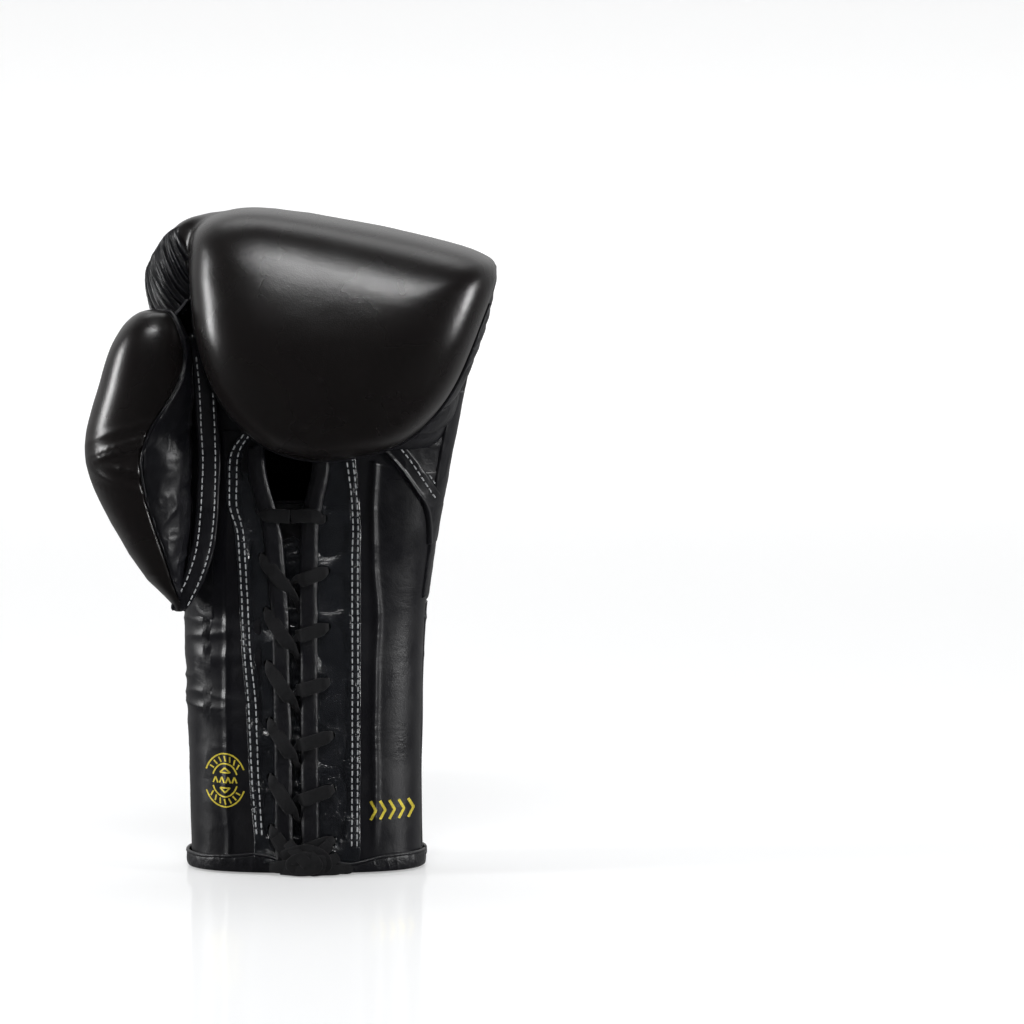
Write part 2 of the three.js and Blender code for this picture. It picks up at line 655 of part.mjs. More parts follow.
const LACE_OVER_FACING = 2.0;  // how far the lace's middle stands off the facing outside
const LACE_OVER_ROLL = 4.3;
const LACE_BEHIND = 5.0;
const LACE_TURN = 3.0;          // distance from a roll's middle where the lace bends into the gap
const HOLE_HALF = 1.9;
const GAP_X = -3.6;
const GAP_SPREAD = 4.0;       // half the height between the two crossing ends in the gap
const outwards = new THREE.Vector3(0, 1, 0);

function lacePoint(x, z, standOff, half, guide = outwards) {
  const at = handPoint(angleAtX(x, z), z);
  at.y -= standOff;
  return { at, half, guide };
}

// One end of the lace: half of the top bar, then hole, gap and opposite hole down to the hem
function laceEnd(startsOnThumbSide) {
  const half = LACE_WIDTH / 2;
  const sign = startsOnThumbSide ? -1 : 1;
  const route = [];
  const holes = (thumbSide) => (thumbSide ? eyeletsThumb : eyeletsOuter);
  const rollX = (thumbSide, z) => (thumbSide ? rollThumb(z) : rollOuter(z));
  const [firstX, firstZ] = holes(startsOnThumbSide)[0];
  const barZ = (eyeletsThumb[0][1] + eyeletsOuter[0][1]) / 2;
  const first = rollX(startsOnThumbSide, barZ);
  route.push(lacePoint(GAP_X + sign * 0.4, barZ, LACE_OVER_ROLL, half));
  route.push(lacePoint(first, barZ, LACE_OVER_ROLL, half));
  route.push(lacePoint(firstX - sign * 1.2, firstZ, LACE_OVER_FACING + 0.8, HOLE_HALF));
  let thumbSide = startsOnThumbSide;
  const direction = () => new THREE.Vector3(thumbSide ? 1 : -1, 0, 0);
  route.push(lacePoint(firstX, firstZ, -0.75, HOLE_HALF, direction()));
  const level = startsOnThumbSide ? LACE_BEHIND : LACE_BEHIND + 1.7;
  route.push(lacePoint(firstX - sign * 2, firstZ - 2, -level, half));
  const last = eyeletsThumb.length - 1;
  for (let k = 1; k <= last; k += 1) {
    thumbSide = !thumbSide;
    const [x, z] = holes(thumbSide)[k];
    const inwards = thumbSide ? 1 : -1;
    const roll = rollX(thumbSide, z);
    const drop = thumbSide ? GAP_SPREAD + 13 : -GAP_SPREAD + 13;
    const gapZ = (eyeletsThumb[k][1] + eyeletsOuter[k][1]) / 2 - drop;
    const entryDepth = k === 1 ? level : LACE_BEHIND;
    const lastZ = route.at(-1).at.z;
    const tuckHeight = lerp(z, lastZ, 0.6);
    const tuckHalf = k === 1 ? half : 2.4;
    route.push(lacePoint(roll + inwards * LACE_TURN, tuckHeight, -entryDepth, tuckHalf));
    route.push(lacePoint(roll - inwards * LACE_TURN, lerp(z, lastZ, 0.2), -entryDepth, half));
    route.push(lacePoint(x + inwards * 2, z + 1, -LACE_BEHIND, 2.2));
    route.push(lacePoint(x, z, -0.75, HOLE_HALF, direction()));
    route.push(lacePoint(x + inwards * 1.2, z - 0.8, LACE_OVER_FACING + 0.8, HOLE_HALF));
    route.push(lacePoint(roll - inwards * LACE_TURN, lerp(z, gapZ, 0.45), LACE_OVER_ROLL, half));
    route.push(lacePoint(roll + inwards * LACE_TURN, lerp(z, gapZ, 0.8), LACE_OVER_ROLL, 2.6));
    if (k === last) break;
    route.push(lacePoint(GAP_X, gapZ, -1, 2, direction()));
  }
  return ribbon(route);
}
add('lace_end_thumb', 'lace', laceEnd(true));
add('lace_end_outer', 'lace', laceEnd(false));

// Knot that closes the lacing over the hem
const KNOT_HALF = new THREE.Vector3(15, 3.6, 6.2);
const knotMiddle = handPoint(angleAtX(2, 8), 8);
add('lace_knot', 'lace', new THREE.SphereGeometry(1, 16, 10)
  .scale(KNOT_HALF.x, KNOT_HALF.y, KNOT_HALF.z)
  .translate(knotMiddle.x, knotMiddle.y - KNOT_HALF.y - 5.4, 7.4));

export default glove;
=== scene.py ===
import json
import math

import bpy
import numpy as np
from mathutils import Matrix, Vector
from mathutils.bvhtree import BVHTree

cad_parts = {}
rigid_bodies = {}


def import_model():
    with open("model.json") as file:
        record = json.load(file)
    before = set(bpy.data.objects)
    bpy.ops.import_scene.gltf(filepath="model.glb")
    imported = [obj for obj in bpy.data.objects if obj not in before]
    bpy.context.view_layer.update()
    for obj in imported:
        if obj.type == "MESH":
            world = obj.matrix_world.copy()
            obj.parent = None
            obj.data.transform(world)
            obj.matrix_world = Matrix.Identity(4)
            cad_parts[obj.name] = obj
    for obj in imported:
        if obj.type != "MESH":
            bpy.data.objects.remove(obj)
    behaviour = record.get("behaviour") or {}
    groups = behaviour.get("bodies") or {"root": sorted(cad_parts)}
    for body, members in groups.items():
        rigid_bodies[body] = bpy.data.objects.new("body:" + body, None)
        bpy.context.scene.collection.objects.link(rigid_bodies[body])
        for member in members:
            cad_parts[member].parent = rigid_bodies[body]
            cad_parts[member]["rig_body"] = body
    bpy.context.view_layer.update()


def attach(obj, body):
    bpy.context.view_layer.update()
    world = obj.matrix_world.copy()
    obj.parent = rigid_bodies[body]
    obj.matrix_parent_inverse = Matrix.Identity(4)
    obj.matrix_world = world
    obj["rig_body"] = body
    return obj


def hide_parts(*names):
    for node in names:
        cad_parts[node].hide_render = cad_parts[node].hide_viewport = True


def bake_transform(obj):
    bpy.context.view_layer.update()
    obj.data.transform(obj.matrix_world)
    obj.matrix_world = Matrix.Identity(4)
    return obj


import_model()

print("frame loaded")

# Everything below is worked out in millimetres from the cuff's middle, then moved and scaled into the frame.
gloveShift = np.array([5.0, 8.5, 0.0])


def place(points):
    return (np.asarray(points, float) + gloveShift) * 0.001


# camera and studio
studio = {
    "aim": (103.0, 0.0, 178.0),
    "distance": 2500.0,
    "elevation": 5.0,
    "framed": 512.0,       # width seen at the glove
    "sensor": 36.0,
    "floorTone": "#e6e7e8",
    "glow": 0.46,
    "farGlow": 0.85,
    "mirror": 0.26,
    "darkSide": 0.05,      # world brightness seen in front of the glove
    "brightSide": 1.15,    # and behind it
    # name, place, aim, width, height, watts
    "lights": [
        ("topSoftbox", (0.0, 0.3, 1.7), (0, 0, 0.25), 1.2, 0.6, 5),
        ("frontSoftbox", (0.0, -1.35, 1.75), (0, 0, 0.25), 0.75, 0.22, 17),
        ("leftStrip", (-1.75, -0.25, 0.5), (0, 0, 0.25), 0.26, 0.8, 22),
        ("rightStrip", (1.7, -0.55, 0.38), (0, 0, 0.25), 0.2, 0.6, 17),
    ],
}


def lieAt(route, depth):
    # a place judged from the camera's side, moved to where it lies that many mm in front of the middle plane
    aimX, _, aimZ = studio["aim"]
    nearer = 1 + depth / studio["distance"]
    raised = depth * math.sin(math.radians(studio["elevation"]))
    return [(aimX + (x - aimX) / nearer, aimZ + (z - aimZ) / nearer + raised) for x, z in route]


def hexToLinear(code):
    channels = [int(code[i:i + 2], 16) / 255 for i in (1, 3, 5)]
    return [c / 12.92 if c <= 0.04045 else ((c + 0.055) / 1.055) ** 2.4 for c in channels] + [1.0]


def addNode(tree, kind, settings=None, links=None):
    node = tree.nodes.new(kind)
    for key, value in (settings or {}).items():
        if hasattr(node, key) and key not in node.inputs:
            setattr(node, key, value)
        else:
            node.inputs[key].default_value = value
    for key, source in (links or {}).items():
        tree.links.new(source, node.inputs[key])
    return node


def newMaterial(name):
    material = bpy.data.materials.new(name)
    material.use_nodes = True
    material.node_tree.nodes.clear()
    return material, material.node_tree


def makeCamera():
    aim = Vector(place(studio["aim"]))
    tilt = math.radians(studio["elevation"])
    away = Vector((0, -math.cos(tilt), math.sin(tilt))) * studio["distance"] * 0.001
    data = bpy.data.cameras.new("frontCamera")
    data.sensor_width = studio["sensor"]
    data.lens = studio["sensor"] * studio["distance"] / studio["framed"]
    data.clip_end = 50
    camera = bpy.data.objects.new("frontCamera", data)
    bpy.context.scene.collection.objects.link(camera)
    camera.location = aim + away
    camera.rotation_euler = (-away).to_track_quat("-Z", "Y").to_euler()
    bpy.context.scene.camera = camera


def areaLight(name, location, target, width, height, power, tone="#ffffff"):
    data = bpy.data.lights.new(name, "AREA")
    data.shape = "RECTANGLE"
    data.size = width
    data.size_y = height
    data.energy = power
    data.color = hexToLinear(tone)[:3]
    light = bpy.data.objects.new(name, data)
    bpy.context.scene.collection.objects.link(light)
    light.location = location
    light.rotation_euler = (Vector(target) - Vector(location)).to_track_quat("-Z", "Y").to_euler()


def makeStudio():
    # lacquered white sweep: even white with a weak mirror image just under the glove
    material, tree = newMaterial("lacqueredSweep")
    paint = addNode(tree, "ShaderNodeBsdfDiffuse", {"Color": hexToLinear(studio["floorTone"])})
    depth = addNode(tree, "ShaderNodeSeparateXYZ", links={
        "Vector": addNode(tree, "ShaderNodeTexCoord").outputs["Object"]})
    brighter = addNode(tree, "ShaderNodeMapRange", {
        "From Min": 0.1, "From Max": 2.2, "To Min": studio["glow"], "To Max": studio["farGlow"]},
        {"Value": depth.outputs["Y"]})
    glow = addNode(tree, "ShaderNodeEmission", {"Color": (1, 1, 1, 1)}, {
        "Strength": brighter.outputs["Result"]})
    base = addNode(tree, "ShaderNodeAddShader")
    tree.links.new(paint.outputs[0], base.inputs[0])
    tree.links.new(glow.outputs[0], base.inputs[1])
    mirror = addNode(tree, "ShaderNodeBsdfGlossy", {"Roughness": 0.07})
    surface = addNode(tree, "ShaderNodeMixShader", {"Fac": studio["mirror"]})
    tree.links.new(base.outputs[0], surface.inputs[1])
    tree.links.new(mirror.outputs[0], surface.inputs[2])
    addNode(tree, "ShaderNodeOutputMaterial", links={"Surface": surface.outputs[0]})
    bend = [(-4.0, 0.0), (2.0, 0.0)]
    bend += [(2.0 + 2.0 * math.sin(a), 2.0 - 2.0 * math.cos(a)) for a in np.linspace(0.05, math.pi / 2, 30)]
    bend.append((4.0, 7.0))
    points = [(x, y, z) for y, z in bend for x in (-7, 7)]
    mesh = bpy.data.meshes.new("studioSweep")
    mesh.from_pydata(points, [], [(2 * k, 2 * k + 1, 2 * k + 3, 2 * k + 2) for k in range(len(bend) - 1)])
    mesh.polygons.foreach_set("use_smooth", [True] * len(mesh.polygons))
    mesh.materials.append(material)
    stage = bpy.data.objects.new("studioSweep", mesh)
    bpy.context.scene.collection.objects.link(stage)
    stage.visible_glossy = False
    for light in studio["lights"]:
        areaLight(*light)
    world = bpy.data.worlds.new("studioWorld")
    bpy.context.scene.world = world
    world.use_nodes = True
    tree = world.node_tree
    tree.nodes.clear()
    # dark room in front of the glove, bright sweep behind and above it
    way = addNode(tree, "ShaderNodeSeparateXYZ", links={
        "Vector": addNode(tree, "ShaderNodeTexCoord").outputs["Generated"]})
    behind = addNode(tree, "ShaderNodeMapRange", {
        "From Min": -0.1, "From Max": 0.6, "To Min": studio["darkSide"], "To Max": studio["brightSide"]},
        {"Value": way.outputs["Y"]})
    above = addNode(tree, "ShaderNodeMapRange", {"From Min": -0.1, "From Max": 0.6, "To Min": 0.22},
                    {"Value": way.outputs["Z"]})
    glow = addNode(tree, "ShaderNodeMath", {"operation": "MULTIPLY"})
    tree.links.new(behind.outputs["Result"], glow.inputs[0])
    tree.links.new(above.outputs["Result"], glow.inputs[1])
    background = addNode(tree, "ShaderNodeBackground", {"Color": (1, 1, 1, 1)}, {"Strength": glow.outputs[0]})
    addNode(tree, "ShaderNodeOutputWorld", links={"Surface": background.outputs[0]})
    bpy.context.scene.view_settings.view_transform = "Standard"


makeCamera()
makeStudio()
print("camera and studio ready")

# shape helpers
# Hand compartment sections: height, thumb side, outer side, widest depth, palm face, back face
handRows = [
    (0, -59.0, 58.6, 0, -33.5, 33.5), (60, -60.0, 58.4, 0, -34, 34), (120, -61.2, 60.2, 0, -34.5, 34),
    (150, -62.8, 63.2, -2, -36, 37.5), (175, -64.2, 67.2, -5, -37.5, 46), (205, -65.5, 72.8, -9, -38.5, 58.5),
    (235, -67, 78.6, -13, -39, 68), (262, -69.5, 84.5, -18, -39.5, 72.5), (285, -75, 90, -24, -40, 71),
    (300, -76, 89, -27, -40, 63), (311, -71.5, 76, -28.5, -40, 48), (320, -64, 46, -29, -40, 26),
    (325.5, -56, 18, -29.5, -39, -2), (329, -42, 0, -29.5, -35, -20),
]
squareness = 2.5


def sampleRows(rows, height):
    table = np.asarray(rows, float)
    height = np.asarray(height, float)
    last = len(table) - 1
    i = np.clip(np.searchsorted(table[:, 0], height, side="right") - 1, 0, last - 1)
    low, high = table[i], table[i + 1]
    before, after = table[np.maximum(i - 1, 0)], table[np.minimum(i + 2, last)]
    span = (high[..., :1] - low[..., :1])
    t = (height[..., None] - low[..., :1]) / span
    slopeLow = (high - before) / (high[..., :1] - before[..., :1])
    slopeHigh = (after - low) / (after[..., :1] - low[..., :1])
    a, b = 2 * t**3 - 3 * t**2 + 1, t**3 - 2 * t**2 + t
    c, d = 3 * t**2 - 2 * t**3, t**3 - t**2
    return a * low + b * span * slopeLow + c * high + d * span * slopeHigh


def swell(value):
    return np.sign(value) * np.abs(value) ** (2 / squareness)


def handPoint(angle, height, depth=0.0):
    angle, height, depth = np.broadcast_arrays(np.asarray(angle, float), height, depth)
    row = sampleRows(handRows, height)
    left, right, midY, front, back = (row[..., k] for k in range(1, 6))
    halfWidth = (right - left) / 2 - depth
    reach = np.where(np.sin(angle) < 0, midY - front - depth, back - midY - depth)
    x = (left + right) / 2 + halfWidth * swell(np.cos(angle))
    return np.stack([x, midY + reach * swell(np.sin(angle)), height], -1)


def angleAtX(x, height, side=-1):
    x, height = np.broadcast_arrays(np.asarray(x, float), np.asarray(height, float))
    row = sampleRows(handRows, height)
    left, right = row[..., 1], row[..., 2]
    share = np.clip((x - (left + right) / 2) / ((right - left) / 2), -1, 1)
    angle = side * np.arccos(np.sign(share) * np.abs(share) ** (squareness / 2))
    return angle - 2 * math.pi if side > 0 else angle


def softNoise(points, size, seed=0):
    q = np.asarray(points, float) / size
    cell = np.floor(q).astype(np.int64)
    f = q - cell
    f = f * f * (3 - 2 * f)
    total = np.zeros(q.shape[:-1])
    for dx in (0, 1):
        for dy in (0, 1):
            for dz in (0, 1):
                key = ((cell[..., 0] + dx) * 374761393 + (cell[..., 1] + dy) * 668265263
                       + (cell[..., 2] + dz) * 1440662683 + seed * 1274126177) & 0xFFFFFFFF
                key = ((key ^ (key >> 13)) * 1274126177) & 0xFFFFFFFF
                value = ((key ^ (key >> 16)) & 0xFFFF) / 32767.5 - 1
                weight = (f[..., 0] if dx else 1 - f[..., 0]) * (f[..., 1] if dy else 1 - f[..., 1])
                total += value * weight * (f[..., 2] if dz else 1 - f[..., 2])
    return total


def smoothStep(value, low, high):
    t = np.clip((np.asarray(value, float) - low) / (high - low), 0, 1)
    return t * t * (3 - 2 * t)


def gridNormals(grid, ring=False):
    if ring:
        alongU = np.roll(grid, -1, 1) - np.roll(grid, 1, 1)
    else:
        alongU = np.gradient(grid, axis=1)
    alongV = np.gradient(grid, axis=0)
    normal = np.cross(alongU, alongV)
    length = np.linalg.norm(normal, axis=-1, keepdims=True)
    return normal / np.maximum(length, 1e-9)


def addPiece(name, points, faces, material, body, replaced=(), smooth=True):
    mesh = bpy.data.meshes.new(name)
    mesh.from_pydata([tuple(p) for p in place(points)], [], faces)
    mesh.update()
    piece = bpy.data.objects.new(name, mesh)
    bpy.context.scene.collection.objects.link(piece)
    mesh.materials.append(material)
    if smooth:
        mesh.polygons.foreach_set("use_smooth", [True] * len(mesh.polygons))
    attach(piece, body)
    if replaced:
        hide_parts(*replaced)
    return piece


def slabFaces(rows, columns, ring):
    faces = []
    layer = rows * columns
    span = columns if ring else columns - 1
    for j in range(rows - 1):
        for i in range(span):
            a = j * columns + i
            b = j * columns + (i + 1) % columns
            faces.append((a, b, b + columns, a + columns))
            faces.append((layer + a, layer + a + columns, layer + b + columns, layer + b))
    top = (rows - 1) * columns
    for i in range(span):
        n = (i + 1) % columns
        faces.append((i, layer + i, layer + n, n))
        faces.append((top + i, top + n, layer + top + n, layer + top + i))
    if not ring:
        for j in range(rows - 1):
            a, b = j * columns, j * columns + columns - 1
            faces.append((a, a + columns, layer + a + columns, layer + a))
            faces.append((b, layer + b, layer + b + columns, b + columns))
    return faces


def edgeDistance(grid, ring):
    alongV = np.cumsum(np.linalg.norm(np.diff(grid, axis=0), axis=-1), axis=0)
    alongV = np.concatenate([np.zeros((1, grid.shape[1])), alongV])
    distance = np.minimum(alongV, alongV[-1] - alongV)
    if not ring:
        alongU = np.cumsum(np.linalg.norm(np.diff(grid, axis=1), axis=-1), axis=1)
        alongU = np.concatenate([np.zeros((grid.shape[0], 1)), alongU], 1)
        distance = np.minimum(distance, np.minimum(alongU, alongU[:, -1:] - alongU))
    return distance


def outwardNormals(grid, ring=False, inside=None):
    normal = gridNormals(grid, ring)
    core = grid.reshape(-1, 3).mean(0) if inside is None else np.asarray(inside, float)
    return -normal if np.sum(normal * (grid - core)) < 0 else normal


# A sheet of hide: the grid is its outer face, relief lifts that face, and its edges are skived round
def leatherSheet(name, grid, thick, material, body, replaced=(), ring=False, edge=1.2, relief=0.0,
                 inside=None):
    normal = outwardNormals(grid, ring, inside)
    near = 1 - np.clip(edgeDistance(grid, ring) / edge, 0, 1)
    drop = thick * 0.8 * (1 - np.sqrt(1 - near**2))
    lift = (np.zeros(grid.shape[:2]) + relief - drop)[..., None]
    outer = grid + normal * lift
    inner = grid - normal * thick
    points = np.concatenate([outer.reshape(-1, 3), inner.reshape(-1, 3)])
    faces = slabFaces(grid.shape[0], grid.shape[1], ring)
    middle = grid.shape[0] // 2
    a, b, d = outer[middle, 0], outer[middle, 1], outer[middle + 1, 0]
    if np.dot(np.cross(b - a, d - a), normal[middle, 0]) < 0:
        faces = [face[::-1] for face in faces]
    return addPiece(name, points, faces, material, body, replaced)


def handGrid(fromAngle, toAngle, low, high, columns, rows, depth=0.0):
    heights = np.linspace(low, high, rows)
    share = np.linspace(0, 1, columns)
    start = fromAngle(heights) if callable(fromAngle) else np.full(rows, fromAngle)
    end = toAngle(heights) if callable(toAngle) else np.full(rows, toAngle)
    angle = start[:, None] * (1 - share) + end[:, None] * share
    return handPoint(angle, heights[:, None], depth)


def atFront(x):
    return lambda z: angleAtX(x, z, -1)


def atBack(x):
    return lambda z: angleAtX(x, z, 1)


# materials
def leatherMaterial(name, look):
    material, tree = newMaterial(name)
    where = addNode(tree, "ShaderNodeTexCoord").outputs["Object"]
    tone = addNode(tree, "ShaderNodeTexNoise", {"Scale": 1000 / look["toneMm"], "Detail": 4.0},
                   {"Vector": where})
    colour = addNode(tree, "ShaderNodeMix", {"data_type": "RGBA"}, {"Factor": tone.outputs["Fac"]})
    colour.inputs[6].default_value = hexToLinear(look["dark"])
    colour.inputs[7].default_value = hexToLinear(look["light"])
    grain = addNode(tree, "ShaderNodeTexVoronoi", {
        "Scale": 1000 / look["grainMm"], "feature": "DISTANCE_TO_EDGE"}, {"Vector": where})
    pebble = addNode(tree, "ShaderNodeMapRange", {"From Min": 0.0, "From Max": 0.22}, {
        "Value": grain.outputs["Distance"]})
    pores = addNode(tree, "ShaderNodeTexNoise", {
        "Scale": 1000 / look["poreMm"], "Detail": 3.0, "Roughness": 0.6}, {"Vector": where})
    folds = addNode(tree, "ShaderNodeTexNoise", {
        "Scale": 1000 / look["foldMm"], "Detail": 5.0, "Roughness": 0.62, "Distortion": 0.6},
                    {"Vector": where})
    gloss = addNode(tree, "ShaderNodeTexNoise", {"Scale": 1000 / look["glossMm"], "Detail": 3.0},
                    {"Vector": where})
    rough = addNode(tree, "ShaderNodeMapRange", {"From Min": 0.3, "From Max": 0.7, "To Min": look["smooth"],
                                                 "To Max": look["rough"]}, {"Value": gloss.outputs["Fac"]})
    fine = addNode(tree, "ShaderNodeBump", {"Strength": look["grainDepth"], "Distance": 0.0002}, {
        "Height": pebble.outputs["Result"]})
    finer = addNode(tree, "ShaderNodeBump", {"Strength": look["poreDepth"], "Distance": 0.0002}, {
        "Height": pores.outputs["Fac"], "Normal": fine.outputs["Normal"]})
    soft = addNode(tree, "ShaderNodeBump", {
        "Strength": look["foldDepth"], "Distance": look.get("foldMmDeep", 2.0) * 0.001}, {
        "Height": folds.outputs["Fac"], "Normal": finer.outputs["Normal"]})
    shader = addNode(tree, "ShaderNodeBsdfPrincipled", {
        "IOR": 1.5, "Specular IOR Level": look["specular"], "Coat Weight": look["coat"],
        "Coat Roughness": look["coatRough"], "Coat IOR": 1.5}, {
        "Base Color": colour.outputs[2], "Roughness": rough.outputs["Result"],
        "Normal": soft.outputs["Normal"]})
    addNode(tree, "ShaderNodeOutputMaterial", links={"Surface": shader.outputs[0]})
    return material


# corrected-grain cowhide with a resin finish: deep black, broad soft highlights
padLeather = leatherMaterial("finishedCowhide", {
    "dark": "#0d0b0b", "light": "#161313", "toneMm": 60, "grainMm": 1.1, "grainDepth": 0.10, "poreMm": 0.5,
    "poreDepth": 0.08, "foldMm": 45, "foldDepth": 0.10, "glossMm": 40, "smooth": 0.25, "rough": 0.30,
    "specular": 0.5, "coat": 0.0, "coatRough": 0.2})
# thinner drum-dyed hide: bluish black, creased, a little duller
panelLeather = leatherMaterial("drumDyedHide", {
    "dark": "#0b0b0e", "light": "#131318", "toneMm": 40, "grainMm": 1.0, "grainDepth": 0.08, "poreMm": 0.5,
    "poreDepth": 0.06, "foldMm": 22, "foldDepth": 0.2, "glossMm": 14, "smooth": 0.28, "rough": 0.44,
    "specular": 0.5, "coat": 0.0, "coatRough": 0.2})
# glazed facing hide, crushed by the lacing: sharp broken highlights
facingLeather = leatherMaterial("glazedCreasedHide", {
    "dark": "#101114", "light": "#1c1e22", "toneMm": 18, "grainMm": 0.9, "grainDepth": 0.22, "poreMm": 0.45,
    "poreDepth": 0.12, "foldMm": 9, "foldDepth": 0.5, "foldMmDeep": 3.5, "glossMm": 9, "smooth": 0.13,
    "rough": 0.27, "specular": 0.8, "coat": 0.6, "coatRough": 0.12})
# turned strip over cord: soft sheen along its length
bindingLeather = leatherMaterial("turnedBindingHide", {
    "dark": "#0d0d10", "light": "#15151a", "toneMm": 12, "grainMm": 0.9, "grainDepth": 0.12, "poreMm": 0.4,
    "poreDepth": 0.1, "foldMm": 7, "foldDepth": 0.35, "glossMm": 10, "smooth": 0.30, "rough": 0.46,
    "specular": 0.5, "coat": 0.0, "coatRough": 0.2})


def clothMaterial(name, look):
    material, tree = newMaterial(name)
    where = addNode(tree, "ShaderNodeTexCoord").outputs["Object"]
    tone = addNode(tree, "ShaderNodeTexNoise", {"Scale": 1000 / look["toneMm"], "Detail": 3.0},
                   {"Vector": where})
    colour = addNode(tree, "ShaderNodeMix", {"data_type": "RGBA"}, {"Factor": tone.outputs["Fac"]})
    colour.inputs[6].default_value = hexToLinear(look["dark"])
    colour.inputs[7].default_value = hexToLinear(look["light"])
    warp = addNode(tree, "ShaderNodeTexWave", {
        "Scale": 1000 / look["threadMm"] / 3.1416, "bands_direction": "X", "Distortion": 0.6},
        {"Vector": where})
    weft = addNode(tree, "ShaderNodeTexWave", {
        "Scale": 1000 / look["threadMm"] / 3.1416, "bands_direction": "Z", "Distortion": 0.6},
        {"Vector": where})
    weave = addNode(tree, "ShaderNodeMath", {"operation": "MULTIPLY"})
    tree.links.new(warp.outputs["Fac"], weave.inputs[0])
    tree.links.new(weft.outputs["Fac"], weave.inputs[1])
    bump = addNode(tree, "ShaderNodeBump", {"Strength": look["depth"], "Distance": 0.0004}, {
        "Height": weave.outputs[0]})
    shader = addNode(tree, "ShaderNodeBsdfPrincipled", {
        "IOR": 1.45, "Roughness": look["rough"], "Specular IOR Level": look["specular"],
        "Sheen Weight": look["sheen"], "Sheen Roughness": 0.5}, {
        "Base Color": colour.outputs[2], "Normal": bump.outputs["Normal"]})
    addNode(tree, "ShaderNodeOutputMaterial", links={"Surface": shader.outputs[0]})
    return material


# flat braid with a dull, slightly hairy face
laceCloth = clothMaterial("braidedPolyester", {
    "dark": "#08080a", "light": "#121215", "toneMm": 8, "threadMm": 0.6, "depth": 0.5, "rough": 0.75,
    "specular": 0.25, "sheen": 0.08})
# plain weave, nearly matt
liningCloth = clothMaterial("wovenNylonLining", {
    "dark": "#0d0d10", "light": "#17171b", "toneMm": 20, "threadMm": 0.9, "depth": 0.5, "rough": 0.8,
    "specular": 0.3, "sheen": 0.05})
# grey-white twisted thread that stands out against the hide
stitchThread = clothMaterial("bondedNylonThread", {
    "dark": "#808284", "light": "#b4b6b8", "toneMm": 5, "threadMm": 0.3, "depth": 0.3, "rough": 0.55,
    "specular": 0.4, "sheen": 0.0})


def goldMaterial():
    # hot-stamped foil: a thin metal film that follows the grain below it
    material, tree = newMaterial("hotStampedFoil")
    where = addNode(tree, "ShaderNodeTexCoord").outputs["Object"]
    wear = addNode(tree, "ShaderNodeTexNoise", {"Scale": 900.0, "Detail": 4.0}, {"Vector": where})
    colour = addNode(tree, "ShaderNodeMix", {"data_type": "RGBA"}, {"Factor": wear.outputs["Fac"]})
    colour.inputs[6].default_value = hexToLinear("#a8962a")
    colour.inputs[7].default_value = hexToLinear("#d9c840")
    bump = addNode(tree, "ShaderNodeBump", {"Strength": 0.2, "Distance": 0.0002}, {
        "Height": wear.outputs["Fac"]})
    shader = addNode(tree, "ShaderNodeBsdfPrincipled", {"Metallic": 0.35, "Roughness": 0.45}, {
        "Base Color": colour.outputs[2], "Normal": bump.outputs["Normal"]})
    addNode(tree, "ShaderNodeOutputMaterial", links={"Surface": shader.outputs[0]})
    return material


goldFoil = goldMaterial()
print("materials ready")

# fist: one padded hide over the knuckles
fist = {"bulgeMm": 46.0, "roundness": 0.56, "voxelMm": 2.0, "smoothings": 24, "wallMm": 5.0, "reliefMm": 0.1}
lobeOutline = [
    (-55, 303), (-52, 320.5), (-38, 329), (-16, 330.5), (26, 324), (62, 316.5), (88, 308.5), (95.5, 299),
    (87, 272.5), (75.5, 245.5), (63, 228), (48, 216), (28, 210), (6, 208), (-16, 214), (-33, 228),
    (-45, 247.5), (-51, 267.5), (-53.5, 286),
]
lobeCentre = np.array([18.0, 272.0])


def outlinePoint(share):
    table = np.asarray(lobeOutline, float)
    count = len(table)
    at = (np.asarray(share, float) % 1.0) * count
    i = at.astype(int)
    f = (at - i)[..., None]
    p0, p1, p2, p3 = (table[(i + k) % count] for k in (-1, 0, 1, 2))
    return 0.5 * (2 * p1 + (p2 - p0) * f + (2 * p0 - 5 * p1 + 4 * p2 - p3) * f**2
                  + (3 * p1 - p0 - 3 * p2 + p3) * f**3)


def rimDepth(height):
    return -44.5 + 13.5 * smoothStep(height, 262, 328)


def domePoint(share, rise, inset=0.0):
    edge = outlinePoint(share)
    away = edge - lobeCentre
    length = np.linalg.norm(away, axis=-1)
    phi = np.asarray(rise, float) * math.pi / 2
    spread, lift = np.cos(phi) ** fist["roundness"], np.sin(phi) ** fist["roundness"]
    flat = lobeCentre + away * ((length - inset) * spread / length)[..., None]
    depth = rimDepth(flat[..., 1]) - (fist["bulgeMm"] - inset) * lift
    return np.stack([flat[..., 0], depth, flat[..., 1]], -1)


def lobeVolume():
    share = np.arange(180) / 180
    rings = [domePoint(share, np.full(180, rise)) for rise in np.linspace(0, 0.995, 30)]
    back = rings[0].copy()
    back[:, 1] += 9
    grid = np.array([back * [0.02, 1, 0.02] + [18 * 0.98, 0, 272 * 0.98], back] + rings)
    rows, columns = grid.shape[:2]
    faces = [(j * columns + i, j * columns + (i + 1) % columns, (j + 1) * columns + (i + 1) % columns,
              (j + 1) * columns + i) for j in range(rows - 1) for i in range(columns)]
    last = (rows - 1) * columns
    faces += [tuple(range(columns))[::-1], tuple(range(last, last + columns))]
    return grid.reshape(-1, 3), faces


